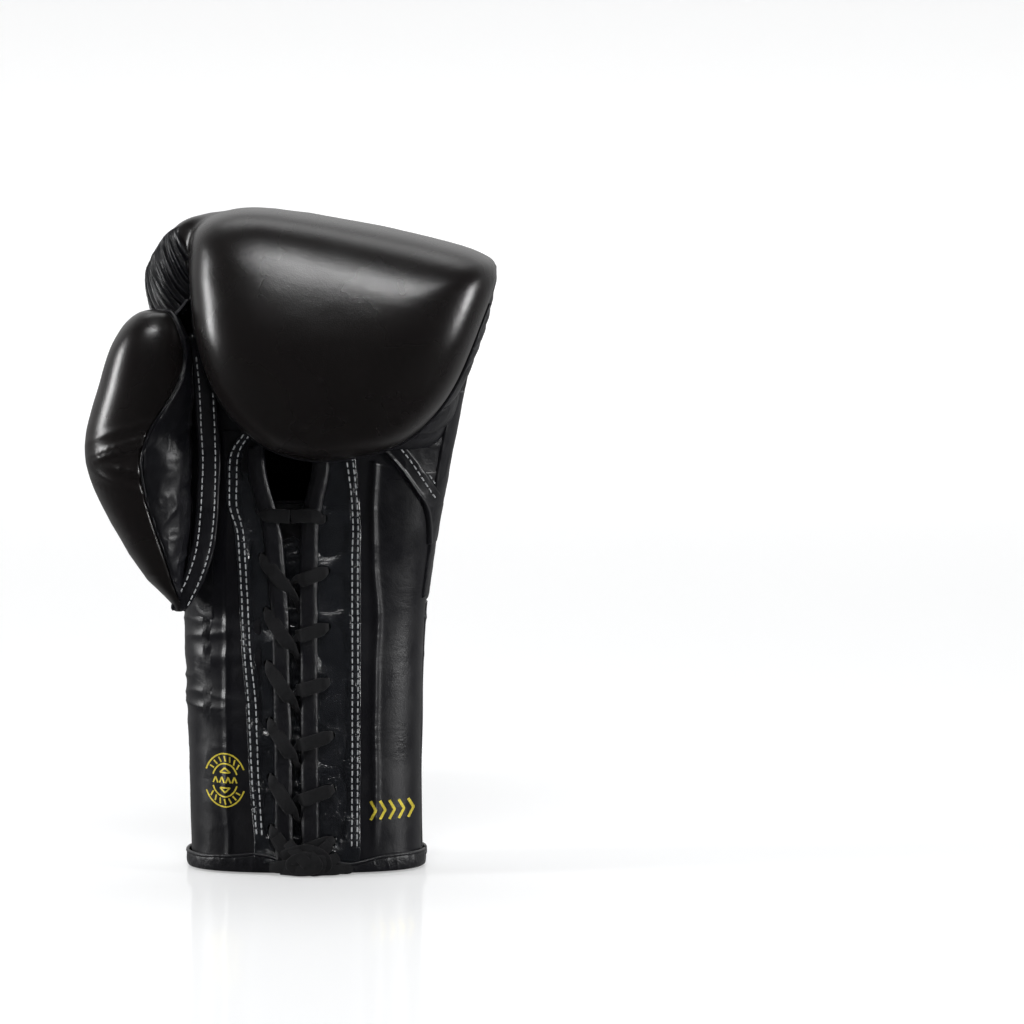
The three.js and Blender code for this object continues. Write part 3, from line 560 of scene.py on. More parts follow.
def stackVolume(low, high, count):
    heights = np.linspace(low, high, count)
    angle = np.linspace(0, 2 * math.pi, 120, endpoint=False)
    grid = handPoint(angle[None, :], heights[:, None])
    faces = [(j * 120 + i, j * 120 + (i + 1) % 120, (j + 1) * 120 + (i + 1) % 120, (j + 1) * 120 + i)
             for j in range(count - 1) for i in range(120)]
    last = (count - 1) * 120
    faces += [tuple(range(120))[::-1], tuple(range(last, last + 120))]
    return grid.reshape(-1, 3), faces


def backVolume():
    grid = handGrid(-0.02, math.pi + 0.02, 133, 300, 90, 80)
    normal = outwardNormals(grid, inside=(10, -10, 200))
    points = np.concatenate([grid.reshape(-1, 3), (grid - normal * fist["wallMm"]).reshape(-1, 3)])
    return points, slabFaces(80, 90, False)


def joined(volumes):
    points, faces, offset = [], [], 0
    for some, these in volumes:
        points.append(np.asarray(some))
        faces += [tuple(k + offset for k in face) for face in these]
        offset += len(some)
    return np.concatenate(points), faces


def neighbourMean(points, edges):
    total = np.zeros_like(points)
    count = np.zeros(len(points))
    for a, b in ((0, 1), (1, 0)):
        np.add.at(total, edges[:, a], points[edges[:, b]])
        np.add.at(count, edges[:, a], 1)
    return total / count[:, None]


def meshArrays(mesh):
    points = np.zeros(len(mesh.vertices) * 3)
    mesh.vertices.foreach_get("co", points)
    edges = np.zeros(len(mesh.edges) * 2, int)
    mesh.edges.foreach_get("vertices", edges)
    normals = np.zeros(len(mesh.vertices) * 3)
    mesh.vertices.foreach_get("normal", normals)
    return points.reshape(-1, 3), edges.reshape(-1, 2), normals.reshape(-1, 3)


def remeshed(volumes, voxelMm, smoothings):
    points, faces = joined(volumes)
    raw = bpy.data.meshes.new("fistVolumes")
    raw.from_pydata([tuple(p) for p in points], [], faces)
    bulk = bpy.data.objects.new("fistVolumes", raw)
    bpy.context.scene.collection.objects.link(bulk)
    wrap = bulk.modifiers.new("voxels", "REMESH")
    wrap.mode = "VOXEL"
    wrap.voxel_size = voxelMm
    wrap.use_smooth_shade = True
    mesh = bpy.data.meshes.new_from_object(bulk.evaluated_get(bpy.context.evaluated_depsgraph_get()))
    bpy.data.objects.remove(bulk)
    points, edges, _ = meshArrays(mesh)
    for _ in range(smoothings):
        points = points + 0.6 * (neighbourMean(points, edges) - points)
        points = points - 0.58 * (neighbourMean(points, edges) - points)
    mesh.vertices.foreach_set("co", points.ravel())
    mesh.update()
    return mesh


def makeFist():
    mesh = remeshed([lobeVolume(), stackVolume(283, 328.8, 34), backVolume()], fist["voxelMm"],
                    fist["smoothings"])
    points, _, normals = meshArrays(mesh)
    relief = softNoise(points, 26, 3) * 0.6 + softNoise(points, 9, 4) * 0.35
    pucker = np.clip(1 - np.abs(points[:, 1] + 36) / 10, 0, 1) * softNoise(points * [1, 0.3, 1], 4.5, 5)
    points = points + normals * (fist["reliefMm"] * (relief + 0.7 * pucker))[:, None]
    faces = [tuple(p.vertices) for p in mesh.polygons]
    piece = addPiece("fistLeather", points, faces, padLeather, "hand")
    piece.parent = None
    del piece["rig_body"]
    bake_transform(piece)
    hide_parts("back_shell", "fist_shell", "fist_pad", "knuckle_pad_outer", "knuckle_pad_middle",
                "knuckle_pad_inner")
    return piece


fistLeather = makeFist()
print("fist made", len(fistLeather.data.vertices))


# cords, welts and bindings
def frames(path, guides):
    tangent = np.gradient(path, axis=0)
    tangent /= np.linalg.norm(tangent, axis=1, keepdims=True)
    across = np.cross(tangent, guides)
    across /= np.maximum(np.linalg.norm(across, axis=1, keepdims=True), 1e-9)
    return tangent, across, np.cross(across, tangent)


def smoothPath(points, perSpan):
    table = np.asarray(points, float)
    padded = np.concatenate([table[:1] * 2 - table[1:2], table, table[-1:] * 2 - table[-2:-1]])
    out = []
    for i in range(1, len(padded) - 2):
        p0, p1, p2, p3 = padded[i - 1:i + 3]
        for f in np.arange(perSpan) / perSpan:
            out.append(0.5 * (2 * p1 + (p2 - p0) * f + (2 * p0 - 5 * p1 + 4 * p2 - p3) * f**2
                              + (3 * p1 - p0 - 3 * p2 + p3) * f**3))
    return np.array(out + [table[-1]])


def tubeGeometry(path, across, out, section):
    grid = path[:, None] + across[:, None] * section[None, :, :1] + out[:, None] * section[None, :, 1:]
    rows, columns = grid.shape[:2]
    faces = [(j * columns + i, (j + 1) * columns + i, (j + 1) * columns + (i + 1) % columns,
              j * columns + (i + 1) % columns) for j in range(rows - 1) for i in range(columns)]
    last = (rows - 1) * columns
    faces += [tuple(range(columns)), tuple(range(last, last + columns))[::-1]]
    return grid.reshape(-1, 3), faces


def roundSection(halfWide, halfThick, sides=14, square=2.0):
    angle = np.arange(sides) / sides * 2 * math.pi
    c, s = np.cos(angle), np.sin(angle)
    return np.stack([np.sign(c) * np.abs(c) ** (2 / square) * halfWide,
                     np.sign(s) * np.abs(s) ** (2 / square) * halfThick], -1)


def welt(name, path, radius, material, body, replaced=(), guide=(0, 1, 0), wobble=0.12):
    path = np.asarray(path, float)
    path = path + softNoise(path, 6, 11)[:, None] * wobble
    _, across, out = frames(path, np.broadcast_to(guide, path.shape))
    points, faces = tubeGeometry(path, across, out, roundSection(radius, radius))
    return addPiece(name, points, faces, material, body, replaced)


def blendPiece(piece, a, b, start, end):
    piece.parent = None
    del piece["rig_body"]
    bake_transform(piece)


weltShare = np.linspace(-0.03, 0.6, 260)
weltPath = domePoint(-weltShare, np.zeros(260), -0.7) + [0, -0.8, 0]
fistWelt = welt("fistWelt", weltPath, 0.95, bindingLeather, "fist", ["fist_welt"])


# creases and pleats
def crumple(points, size, seed):
    return (1 - np.abs(softNoise(points, size, seed))) ** 2.5


def frontPatch(leftX, rightX, low, high, columns, rows, depth=0.0):
    u, v = np.meshgrid(np.linspace(0, 1, columns), np.linspace(0, 1, rows))
    lowZ = low(u) if callable(low) else low
    highZ = high(u) if callable(high) else high
    z = lowZ + (highZ - lowZ) * v
    left = leftX(z) if callable(leftX) else leftX
    right = rightX(z) if callable(rightX) else rightX
    x = left + (right - left) * u
    return handPoint(angleAtX(x, z), z, depth)


# middle line of each lace roll, as (height, x)
rollLines = {
    "thumb": [(9, -10.0), (78, -10.5), (132, -11.6), (174, -15.4), (182, -17.4), (195, -21.6), (207, -23.6),
              (214, -22.6)],
    "outer": [(9, 3.0), (78, 2.6), (132, 2.4), (174, 3.3), (184, 4.6), (195, 8.0), (207, 9.6), (214, 8.6)],
}


def rollThumbX(z):
    return np.interp(z, *zip(*rollLines["thumb"]))


def rollOuterX(z):
    return np.interp(z, *zip(*rollLines["outer"]))


# the twin stitch lines of the facings, as (x, z) judged from straight in front
facingSeams = {
    "thumbOuter": [(-28, 224), (-31, 217), (-36, 210), (-38, 203), (-38.2, 192), (-38.2, 181), (-35.6, 172),
                   (-34.2, 165.5), (-33.3, 152.5), (-32.6, 135), (-32, 118), (-31.2, 105), (-29.6, 83.5),
                   (-28.6, 62), (-28, 45.5), (-26.5, 24), (-25.2, 12)],
    "thumbInner": [(-25, 224), (-28, 217), (-32.6, 210), (-34.4, 203), (-34.7, 192), (-34.8, 181),
                   (-32.6, 172), (-31.3, 165.5), (-30.5, 152.5), (-29.7, 135), (-29, 118), (-28.3, 105),
                   (-26, 83.5), (-25.1, 62), (-24.7, 45.5), (-23.5, 24), (-22.8, 12)],
    "outerInner": [(20, 207), (20.5, 203.5), (22.6, 187), (23.5, 170), (23, 154), (22.8, 100), (22.6, 50),
                   (22.2, 5)],
    "outerOuter": [(23.2, 207), (23.5, 203.5), (25.2, 187), (26, 170), (25.7, 154), (25.6, 100), (25.3, 50),
                   (24.9, 5)],
}
facingDepth = 37.5
seams = {name: lieAt(route, facingDepth) for name, route in facingSeams.items()}


def seamX(name):
    table = np.array(sorted([(z, x) for x, z in seams[name]]))
    return lambda z: np.interp(z, table[:, 0], table[:, 1])


def facingRelief(grid, seed, seamNames, rollX):
    # the lacing drags the hide into a valley between the seam and the roll, deeper about once a lace
    x, z = grid[..., 0], grid[..., 2]
    seamSide = seamX(seamNames[0])(z)
    toRoll = np.clip((x - seamSide) / (rollX(z) - seamSide), 0, 1)
    pull = 0.62 + 0.38 * np.sin(z * 2 * math.pi / cuff["valleyEveryMm"] + seed)
    pull = pull + 0.25 * softNoise(grid * [0, 0, 1], 14, seed + 4)
    valley = -cuff["valleyMm"] * np.clip(pull, 0.1, 1.1) * smoothStep(toRoll, 0.0, 0.44) * (
        1 - 0.8 * smoothStep(toRoll, 0.6, 1.0)) * smoothStep(z, 10, 24)
    folds = 0.9 * crumple(grid * [1, 1, 0.8], 10, seed) + 0.16 * crumple(grid, 4.6, seed + 1)
    folds += 0.05 * softNoise(grid, 2.2, seed + 2) + 1.9 * softNoise(grid * [1, 1, 0.75], 13, seed + 3)
    folds += valley
    for name in seamNames:
        away = np.abs(grid[..., 0] - seamX(name)(grid[..., 2]))
        folds -= 0.35 * np.exp(-(away / 1.1) ** 2)
    return folds


def punchHoles(piece, holes, radius):
    volumes = []
    for x, z in holes:
        angle = np.arange(24) / 24 * 2 * math.pi
        ring = np.stack([x + radius * np.cos(angle), np.zeros(24), z + radius * np.sin(angle)], -1)
        points = np.concatenate([ring + [0, -60, 0], ring + [0, -20, 0]])
        faces = [(i, i + 24, (i + 1) % 24 + 24, (i + 1) % 24) for i in range(24)]
        faces += [tuple(range(24)), tuple(range(24, 48))[::-1]]
        volumes.append((place(points), faces))
    points, faces = joined(volumes)
    mesh = bpy.data.meshes.new("punches")
    mesh.from_pydata([tuple(p) for p in points], [], faces)
    punch = bpy.data.objects.new("punches", mesh)
    bpy.context.scene.collection.objects.link(punch)
    rule = piece.modifiers.new("punch", "BOOLEAN")
    rule.operation = "DIFFERENCE"
    rule.object = punch
    for solver in ("EXACT", "FAST"):
        rule.solver = solver
        made = bpy.data.meshes.new_from_object(piece.evaluated_get(bpy.context.evaluated_depsgraph_get()))
        if len(made.vertices) > 1000:
            break
    piece.data = made
    piece.modifiers.clear()
    bpy.data.objects.remove(punch)


eyeletsThumb = [(-21.8, 182), (-20.5, 159), (-18.5, 132), (-18, 105.5), (-17, 77), (-16.6, 49), (-16.4, 23.5)]
eyeletsOuter = [(10.5, 178), (11.6, 152), (11.6, 124), (12.1, 96.5), (13.6, 70), (14, 43), (14, 17.5)]

# cuff leather, front
cuff = {"facingFoldMm": 0.75, "valleyMm": 8.0, "valleyEveryMm": 25.5, "holeMm": 1.9, "wrinkleMm": 0.9}


def thumbCuffPanel():
    around = handGrid(atBack(-32.0), atFront(-61.0), 5.0, 129.0, 60, 230, 1.1)
    tops = ([-61, -55, -51, -49.4, -47, -21], [129, 147, 161, 180, 222, 222])
    front = frontPatch(-60.9, -21, 5.0, lambda u: np.interp(-60.9 + 39.9 * u, *tops), 90, 230, 1.1)
    grid = np.concatenate([around[:, :-1], front], 1)
    x, y, z = grid[..., 0], grid[..., 1], grid[..., 2]
    band = smoothStep(z, 62, 84) * (1 - smoothStep(z, 122, 130))
    waves = crumple(grid * [0.35, 0.35, 1.5] + [0, 0, 3], 11, 21)
    relief = cuff["wrinkleMm"] * (band * 1.1 * waves + 0.35 * crumple(grid, 14, 22)
                                  + 0.25 * softNoise(grid, 30, 23))
    relief = relief + 0.9 * np.exp(-((x + 38 + 1.2 * softNoise(grid, 20, 24)) / 1.6) ** 2) * (y < -20)
    return leatherSheet("cuffThumbPanel", grid, 1.5, panelLeather, "hand",
                        ["cuff_thumb_panel", "palm_strip_thumb"], relief=relief, inside=(0, 0, 60))


def backCuffPanel():
    grid = handGrid(-0.1 - 2 * math.pi, atBack(-31.0), 5.0, 134.0, 130, 130, 0.5)
    waves = crumple(grid * [0.4, 0.4, 1.4], 13, 31)
    relief = 0.5 * waves * smoothStep(grid[..., 2], 90, 125) + 0.3 * softNoise(grid, 24, 32)
    return leatherSheet("cuffBackPanel", grid, 1.5, panelLeather, "hand",
                        ["cuff_back_panel"], relief=relief, inside=(0, 0, 60))


def outerCuffPanel():
    grid = frontPatch(lambda z: seamX("outerOuter")(z) - 4.5, 54.5, 5.0, lambda u: 211 - 10 * u, 60, 240, 0.9)
    side = handGrid(atFront(54.5), -0.08, 5.0, 201.0, 22, 240, 0.9)
    grid = np.concatenate([grid, side[:, 1:]], 1)
    x, z = grid[..., 0], grid[..., 2]
    crease = 35 - 1.5 * smoothStep(z, 120, 60) + 1.3 * softNoise(grid * [0, 0, 1], 26, 41)
    crest = np.exp(-((x - crease) / 1.9) ** 2)
    chatter = 0.85 + 0.15 * crumple(grid * [0.6, 0.6, 1.4], 7, 42)
    relief = 1.5 * crest * chatter * smoothStep(z, 6, 30) + 0.25 * softNoise(grid, 28, 43)
    relief += 0.2 * crumple(grid * [1, 1, 0.5], 18, 44) * smoothStep(z, 120, 190)
    piece = leatherSheet("cuffOuterPanel", grid, 1.4, panelLeather, "hand",
                         ["cuff_outer_panel"], relief=relief, inside=(0, 0, 60))
    blendPiece(piece, "cuff_flap", "hand", (0, 0, 135), (0, 0, 196))
    return piece


def facing(thumbSide):
    if thumbSide:
        grid = frontPatch(lambda z: seamX("thumbOuter")(z) - 1.6, lambda z: np.maximum(rollThumbX(z) - 2.2,
                          seamX("thumbInner")(z) + 1.5), 5.5, 222, 40, 430, -0.5)
        relief = cuff["facingFoldMm"] * facingRelief(grid, 51, ["thumbInner", "thumbOuter"], rollThumbX)
        piece = leatherSheet("laceFacingThumb", grid, 1.3, facingLeather, "hand",
                             ["lace_facing_thumb"], relief=relief, inside=(0, 0, 100))
        punchHoles(piece, eyeletsThumb, cuff["holeMm"])
        return piece
    grid = frontPatch(lambda z: rollOuterX(z) + 2.2, lambda z: seamX("outerOuter")(z) + 1.6, 5.5, 209,
                      40, 420, -0.5)
    relief = cuff["facingFoldMm"] * facingRelief(grid, 61, ["outerInner", "outerOuter"], rollOuterX)
    piece = leatherSheet("laceFacingOuter", grid, 1.3, facingLeather, "hand",
                         ["lace_facing_outer"], relief=relief, inside=(0, 0, 100))
    punchHoles(piece, eyeletsOuter, cuff["holeMm"])
    blendPiece(piece, "cuff_flap", "hand", (0, 0, 135), (0, 0, 196))
    return piece


cuffThumbPanel = thumbCuffPanel()
cuffBackPanel = backCuffPanel()
cuffOuterPanel = outerCuffPanel()
facingThumb = facing(True)
facingOuter = facing(False)
print("cuff panels made")


# lace rolls: hide turned over soft cord, flattened by the lacing
rolls = {"halfWideMm": 4.2, "halfThickMm": 2.3, "ribMm": 0.28}


def laceRoll(name, centreX, low, high, replaced):
    z = np.linspace(low, high, 320)
    x = centreX(z)
    path = handPoint(angleAtX(x, z), z, 0.0)
    path[:, 0] = np.convolve(np.pad(path[:, 0], 12, mode="edge"), np.ones(25) / 25, "valid")
    _, across, out = frames(path, np.broadcast_to((0, 1, 0), path.shape))
    section = roundSection(rolls["halfWideMm"], rolls["halfThickMm"], 36, 2.6)
    points, faces = tubeGeometry(path, across, out, section)
    grid = points.reshape(len(z), 36, 3)
    radial = grid - path[:, None]
    radial /= np.linalg.norm(radial, axis=-1, keepdims=True)
    lengthwise = crumple(radial * 3.2 + grid * [0, 0, 0.012] + [0, 0, x[0]], 0.8, 71)
    relief = rolls["ribMm"] * (lengthwise + 0.8 * crumple(grid * [1, 1, 0.4], 5, 72)
                               + softNoise(grid, 12, 73))
    grid = grid + radial * relief[..., None]
    return addPiece(name, grid.reshape(-1, 3), faces, bindingLeather, "hand", replaced)


laceRoll("laceRollThumb", rollThumbX, 7, 213, ["lace_roll_thumb"])
rollOuter = laceRoll("laceRollOuter", rollOuterX, 7, 213, ["lace_roll_outer"])
blendPiece(rollOuter, "cuff_flap", "hand", (0, 0, 135), (0, 0, 196))
ventTop = smoothPath([(-22.6, 0, 212), (-18, 0, 216.5), (-7, 0, 218), (4, 0, 216.5), (8.6, 0, 212)], 12)
ventPath = handPoint(angleAtX(ventTop[:, 0], ventTop[:, 2]), ventTop[:, 2], -0.4)
ventBinding = welt("ventBinding", ventPath, 2.4, bindingLeather, "hand", ["vent_binding"])


# palm side of the hand
palm = {"heelDepth": 36.0, "strapHalfMm": 5.6, "strapThickMm": 1.5}


def palmSheet(name, grid, replaced, amount, seed, thick=1.4):
    relief = amount * (crumple(grid * [1, 1, 0.7], 12, seed) + 0.4 * crumple(grid, 5, seed + 1)
                       + 0.6 * softNoise(grid, 22, seed + 2))
    return leatherSheet(name, grid, thick, panelLeather, "hand", replaced, relief=relief,
                        inside=(10, 0, 200))


palmPanel = palmSheet("palmPanel", frontPatch(-46, 66, 212, 262, 90, 60, 1.6), ["palm_panel"], 0.6, 81)
thumbSidePanel = palmSheet("thumbSidePanel", handGrid(-math.pi - 0.06, atFront(-45), 118, 286, 50, 160, 1.0),
                           ["thumb_root_band"], 0.4, 91)
heelFront = frontPatch(24, 58, 196, 246, 40, 60, 1.2)
heelSide = handGrid(atFront(58), -0.02, 196, 246, 24, 60, 1.2)
palmSheet("heelPanel", np.concatenate([heelFront, heelSide[:, 1:]], 1), ["heel_panel"], 0.4, 95)


def heelBand():
    # turned strip over the top of the cuff panel; its lower edge is the bright rolled line
    centre = smoothPath(lieAt([(40, 214), (46, 207.5), (52, 200), (58, 191), (63, 182.5), (65.2, 173),
                               (65.6, 160)], palm["heelDepth"]), 30)
    columns = 22
    share = np.linspace(-1, 1, columns)
    tangent = np.gradient(centre, axis=0)
    tangent /= np.linalg.norm(tangent, axis=1, keepdims=True)
    side = np.stack([-tangent[:, 1], tangent[:, 0]], -1)
    flat = centre[:, None] + side[:, None] * share[None, :, None] * 5.0
    grid = handPoint(angleAtX(flat[..., 0], flat[..., 1]), flat[..., 1], -0.2)
    beyond = np.clip(flat[..., 0] - sampleRows(handRows, flat[..., 1])[..., 2], 0, 9)
    grid[..., 1] += beyond * 1.0
    relief = 0.9 * np.exp(-((share + 0.78) / 0.16) ** 2) + 0.2 * crumple(grid, 6, 96)
    return leatherSheet("heelBand", grid, 1.3, panelLeather, "hand", relief=relief,
                        inside=(10, 0, 180))


heelStrip = heelBand()
sideGrid = handGrid(lambda z: -0.46 + 0.14 * smoothStep(z, 200, 150), 0.03, 136, 240, 26, 130, 0.1)
sidePanel = palmSheet("sidePanel", sideGrid, ["side_panel"], 0.35, 97)
wristShare = np.linspace(0.3, math.pi - 0.3, 200)
wristWelt = welt("wristWelt", handPoint(wristShare, 132.6, 0.0), 1.1, bindingLeather,
                 "hand", ["wrist_welt"], guide=(0, 0, 1))
backSeamHeights = np.linspace(10, 131, 90)
for k, x in enumerate((-31.5, 31.5)):
    path = handPoint(angleAtX(np.full(90, x), backSeamHeights, 1), backSeamHeights, 0.1)
    welt("backSeam%d" % (k + 1), path, 0.9, bindingLeather, "hand")
gripRoute = [(-38, -26, 243), (-20, -27, 243.5), (5, -27.5, 244), (30, -27, 243.5), (48, -26, 243)]
gripBar = welt("gripBar", smoothPath(gripRoute, 20), 7.0, panelLeather, "hand", ["grip_bar"],
               guide=(0, 0, 1), wobble=0.3)


def strap():
    route = [(-52, 37.5, 268), (-50.4, 39.4, 244), (-49.2, 40.6, 226), (-48, 40.9, 206), (-48.8, 40.8, 188),
             (-49.4, 40.6, 176), (-51.2, 41, 161), (-55.2, 42, 147), (-60.2, 42, 136.5), (-63.4, 39, 130.5),
             (-64, 35, 128)]
    placed = [(lieAt([(x, z)], depth)[0], depth) for x, depth, z in route]
    centre = smoothPath([(x, -depth, z) for (x, z), depth in placed], 16)
    guide = np.broadcast_to((-0.12, 1, 0), centre.shape)
    _, across, _ = frames(centre, guide)
    width = np.interp(np.arange(len(centre)), [0, 100, len(centre) - 1], [palm["strapHalfMm"]] * 2 + [3.6])
    share = np.linspace(-1, 1, 22)
    width = np.broadcast_to(width, len(centre))
    grid = centre[:, None] + across[:, None] * share[None, :, None] * width[:, None, None]
    relief = (0.5 * crumple(grid, 9, 101) + 0.5 * (1 - share[None] ** 2)
              - 0.35 * np.exp(-((np.abs(share[None]) - 0.62) / 0.16) ** 2))
    piece = leatherSheet("thumbRootBand", grid, palm["strapThickMm"], panelLeather, "hand",
                         relief=relief, inside=(10, 20, 190))
    return piece, centre, across


band, bandCentre, bandAcross = strap()
print("palm made")

# thumb
thumb = {"hideMm": 1.5, "gatherMm": 1.3, "rootZ": 132, "riseMm": 149.6, "crowding": 0.675}
thumbRows = [
    (132, -62.6, -60.6, -37, -33), (136, -65.2, -59, -41.5, -26), (142, -71, -58.2, -47, -19),
    (148, -77, -58, -50, -16), (160, -85.4, -56.5, -55, -13), (172, -92.4, -55.8, -58, -13.5),
    (184, -98.6, -55.3, -61, -15), (196, -103.8, -55, -63, -16), (208, -106.6, -54.5, -65, -18.5),
    (220, -106.2, -54.5, -65.5, -21), (232, -103.2, -53.8, -66, -23), (244, -99.4, -53.4, -66, -25),
    (256, -96, -53.6, -65.5, -27.5), (264, -93, -54.6, -64.5, -30), (271, -89, -57, -62.5, -33),
    (276, -85, -59.5, -59.5, -36), (280, -79.5, -63, -55.5, -41), (281.6, -74.5, -67.5, -51, -46),
]
thumbSeam = np.array([(132, -59.5), (137.4, -60.5), (148, -63.5), (160.5, -66.5), (176, -71.7), (190, -75.6),
                      (198, -77.2), (205, -77.9), (212, -77.4), (220, -74.8), (227.3, -71.4), (240.2, -61.8),
                      (252, -56.5), (262, -55), (270, -57), (276, -59.5)])


def thumbPoint(angle, height):
    row = sampleRows(thumbRows, height)
    left, right, front, back = (row[..., k] for k in range(1, 5))
    x = (left + right) / 2 + (right - left) / 2 * np.cos(angle)
    y = (front + back) / 2 + (back - front) / 2 * np.sin(angle)
    return np.stack(np.broadcast_arrays(x, y, height), -1)


def thumbSeamAngle(height):
    row = sampleRows(thumbRows, height)
    share = (np.interp(height, thumbSeam[:, 0], thumbSeam[:, 1]) - (row[..., 1] + row[..., 2]) / 2)
    angle = -np.arccos(np.clip(share / ((row[..., 2] - row[..., 1]) / 2), -0.9, 0.9))
    if angle.ndim and len(angle) > 30:
        angle = np.convolve(np.pad(angle, 8, mode="edge"), np.ones(17) / 17, "valid")
    return angle


def thumbGrid(start, end, columns, rows):
    v = np.linspace(0, 1, rows)
    # rows crowd together towards the root and the tip, where the outline turns fastest
    turn = 2 * math.pi
    heights = thumb["rootZ"] + thumb["riseMm"] * (v - thumb["crowding"] * np.sin(turn * v) / turn)
    a, b = start(heights), end(heights)
    share = np.linspace(0, 1, columns)
    angle = a[:, None] * (1 - share) + b[:, None] * share
    return thumbPoint(angle, heights[:, None] + 0 * angle)


rearSeam = -math.pi * 1.55


def makeThumb():
    shell = thumbGrid(lambda z: np.full(z.shape, rearSeam), thumbSeamAngle, 110, 190)
    toSeam = np.linspace(1, 0, 110)[None, :]
    z = shell[..., 2]
    gather = np.exp(-((z - 206) / 17) ** 2) * np.exp(-(toSeam / 0.26) ** 2)
    rays = crumple(np.stack([z * 0 + toSeam * 1.2, z * 0, z + 30 * toSeam * np.sign(z - 206)], -1), 5.2, 111)
    lower = smoothStep(z, 200, 150) * crumple(shell * [0.5, 0.5, 1], 12, 112)
    relief = thumb["gatherMm"] * (1.9 * gather * rays ** 2 - 0.6 * gather + 0.5 * lower * (1 - toSeam))
    relief += 0.25 * softNoise(shell, 24, 113) - 1.1 * np.exp(-(toSeam / 0.02) ** 2)
    back = leatherSheet("thumbShell", shell, thumb["hideMm"], padLeather, "thumb",
                        ["thumb_back_shell", "thumb_pad"], relief=relief, inside=(-76, -40, 205))
    panel = thumbGrid(thumbSeamAngle, lambda z: np.full(z.shape, rearSeam + 2 * math.pi), 90, 190)
    fromSeam = np.linspace(0, 1, 90)[None, :]
    z = panel[..., 2]
    slanted = np.stack([panel[..., 0] * 0.4 + z * 0.3, panel[..., 1] * 0.4, z - panel[..., 0] * 0.9], -1)
    wrinkles = crumple(slanted, 9, 115)
    relief = 0.75 * wrinkles + 0.3 * crumple(panel, 4.5, 116) - 1.2 * np.exp(-(fromSeam / 0.02) ** 2)
    relief += 0.5 * softNoise(panel, 20, 117)
    inner = leatherSheet("thumbInnerPanel", panel, 1.3, panelLeather, "thumb",
                         ["thumb_inner_panel", "thumb_lining"], relief=relief, inside=(-76, -40, 205))
    heights = np.linspace(133, 280.8, 220)
    seamPath = thumbPoint(thumbSeamAngle(heights), heights)
    cord = welt("thumbSeamWelt", seamPath + [0.2, 0.75, 0], 0.55, bindingLeather, "thumb")
    rear = thumbPoint(np.full(220, rearSeam), heights)
    rearCord = welt("thumbRearSeam", rear, 0.55, bindingLeather, "thumb", guide=(1, 0, 0))
    for piece in (back, inner, cord, rearCord):
        blendPiece(piece, "hand", "thumb", (0, 0, 127), (0, 0, 152))
    return back, inner


thumbShell, thumbInner = makeThumb()


def makeTether():
    v = np.linspace(0, 1, 26)[:, None]
    u = np.linspace(-1, 1, 14)[None, :]
    half = 5.5 + 1.5 * v
    x = -67.5 + 11.5 * v + 0 * u
    y = -47 + 4.5 * v + half * u
    z = 276.5 + 10.5 * v - 2.6 * np.sin(v * math.pi) - 0.8 * u * np.sin(v * math.pi)
    grid = np.stack(np.broadcast_arrays(x, y, z), -1)
    piece = leatherSheet("thumbTether", grid, 1.4, panelLeather, "hand", ["thumb_tether"],
                         relief=0.3 * crumple(grid, 5, 121), inside=(-60, -45, 250))
    blendPiece(piece, "hand", "thumb", (-58, 0, 284), (-67, 0, 277))


makeTether()
print("thumb made")

# gathered gussets
gussets = {"pleatMm": 2.3, "indexPleats": 15, "chunkEveryMm": 9.5, "chunkMm": 2.2}


def curveThrough(table, share):
    table = np.asarray(table, float)
    last = len(table) - 1
    at = np.clip(np.asarray(share, float) * last, 0, last - 1e-9)
    i = at.astype(int)
    f = (at - i)[..., None]
    p1, p2 = table[i], table[i + 1]
    p0, p3 = table[np.maximum(i - 1, 0)], table[np.minimum(i + 2, last)]
    return 0.5 * (2 * p1 + (p2 - p0) * f + (2 * p0 - 5 * p1 + 4 * p2 - p3) * f**2
                  + (3 * p1 - p0 - 3 * p2 + p3) * f**3)


def indexGusset():
    top = [(-60, 12, 304), (-73.5, -10, 304.5), (-72, -26, 311), (-65, -32, 320), (-51, -33, 326)]
    middle = [(-64, 12, 289), (-77.5, -11, 289), (-80.5, -30, 292), (-72, -43, 298), (-52, -38, 303)]
    bottom = [(-58, 8, 266), (-66, -10, 265), (-69, -27, 268), (-62, -40, 275), (-51, -40, 285)]
    u = np.linspace(0, 1, 300)
    t = np.linspace(0, 1, 90)[:, None, None]
    a, b, c = (curveThrough(table, u)[None] for table in (top, middle, bottom))
    grid = a * (1 - t) ** 2 + 2 * b * t * (1 - t) + c * t**2
    along = t[..., 0]
    wander = 0.35 * softNoise(np.stack(np.broadcast_arrays(u[None] * 8, along * 3, 0 * along), -1), 1.0, 131)
    phase = (u[None] - 0.3 * along) * gussets["indexPleats"] + wander
    crest = np.exp(-((phase - np.round(phase)) / 0.19) ** 2)
    minor = (0.5 + 0.5 * np.cos(phase * 4.7 * math.pi + 1)) ** 2
    strength = smoothStep(along, 0.0, 0.25) * (1 - 0.8 * smoothStep(along, 0.8, 1.0))
    strength = strength * smoothStep(u[None], 0.05, 0.3)
    relief = gussets["pleatMm"] * strength * (crest + 0.25 * minor - 0.4) + 0.12 * crumple(grid, 3, 132)
    piece = leatherSheet("indexGusset", grid, 1.2, panelLeather, "hand", ["index_gusset"],
                         relief=relief, inside=(-50, -5, 290))
    blendPiece(piece, "hand", "fist", (-76, -24, 296), (-56, -42, 296))


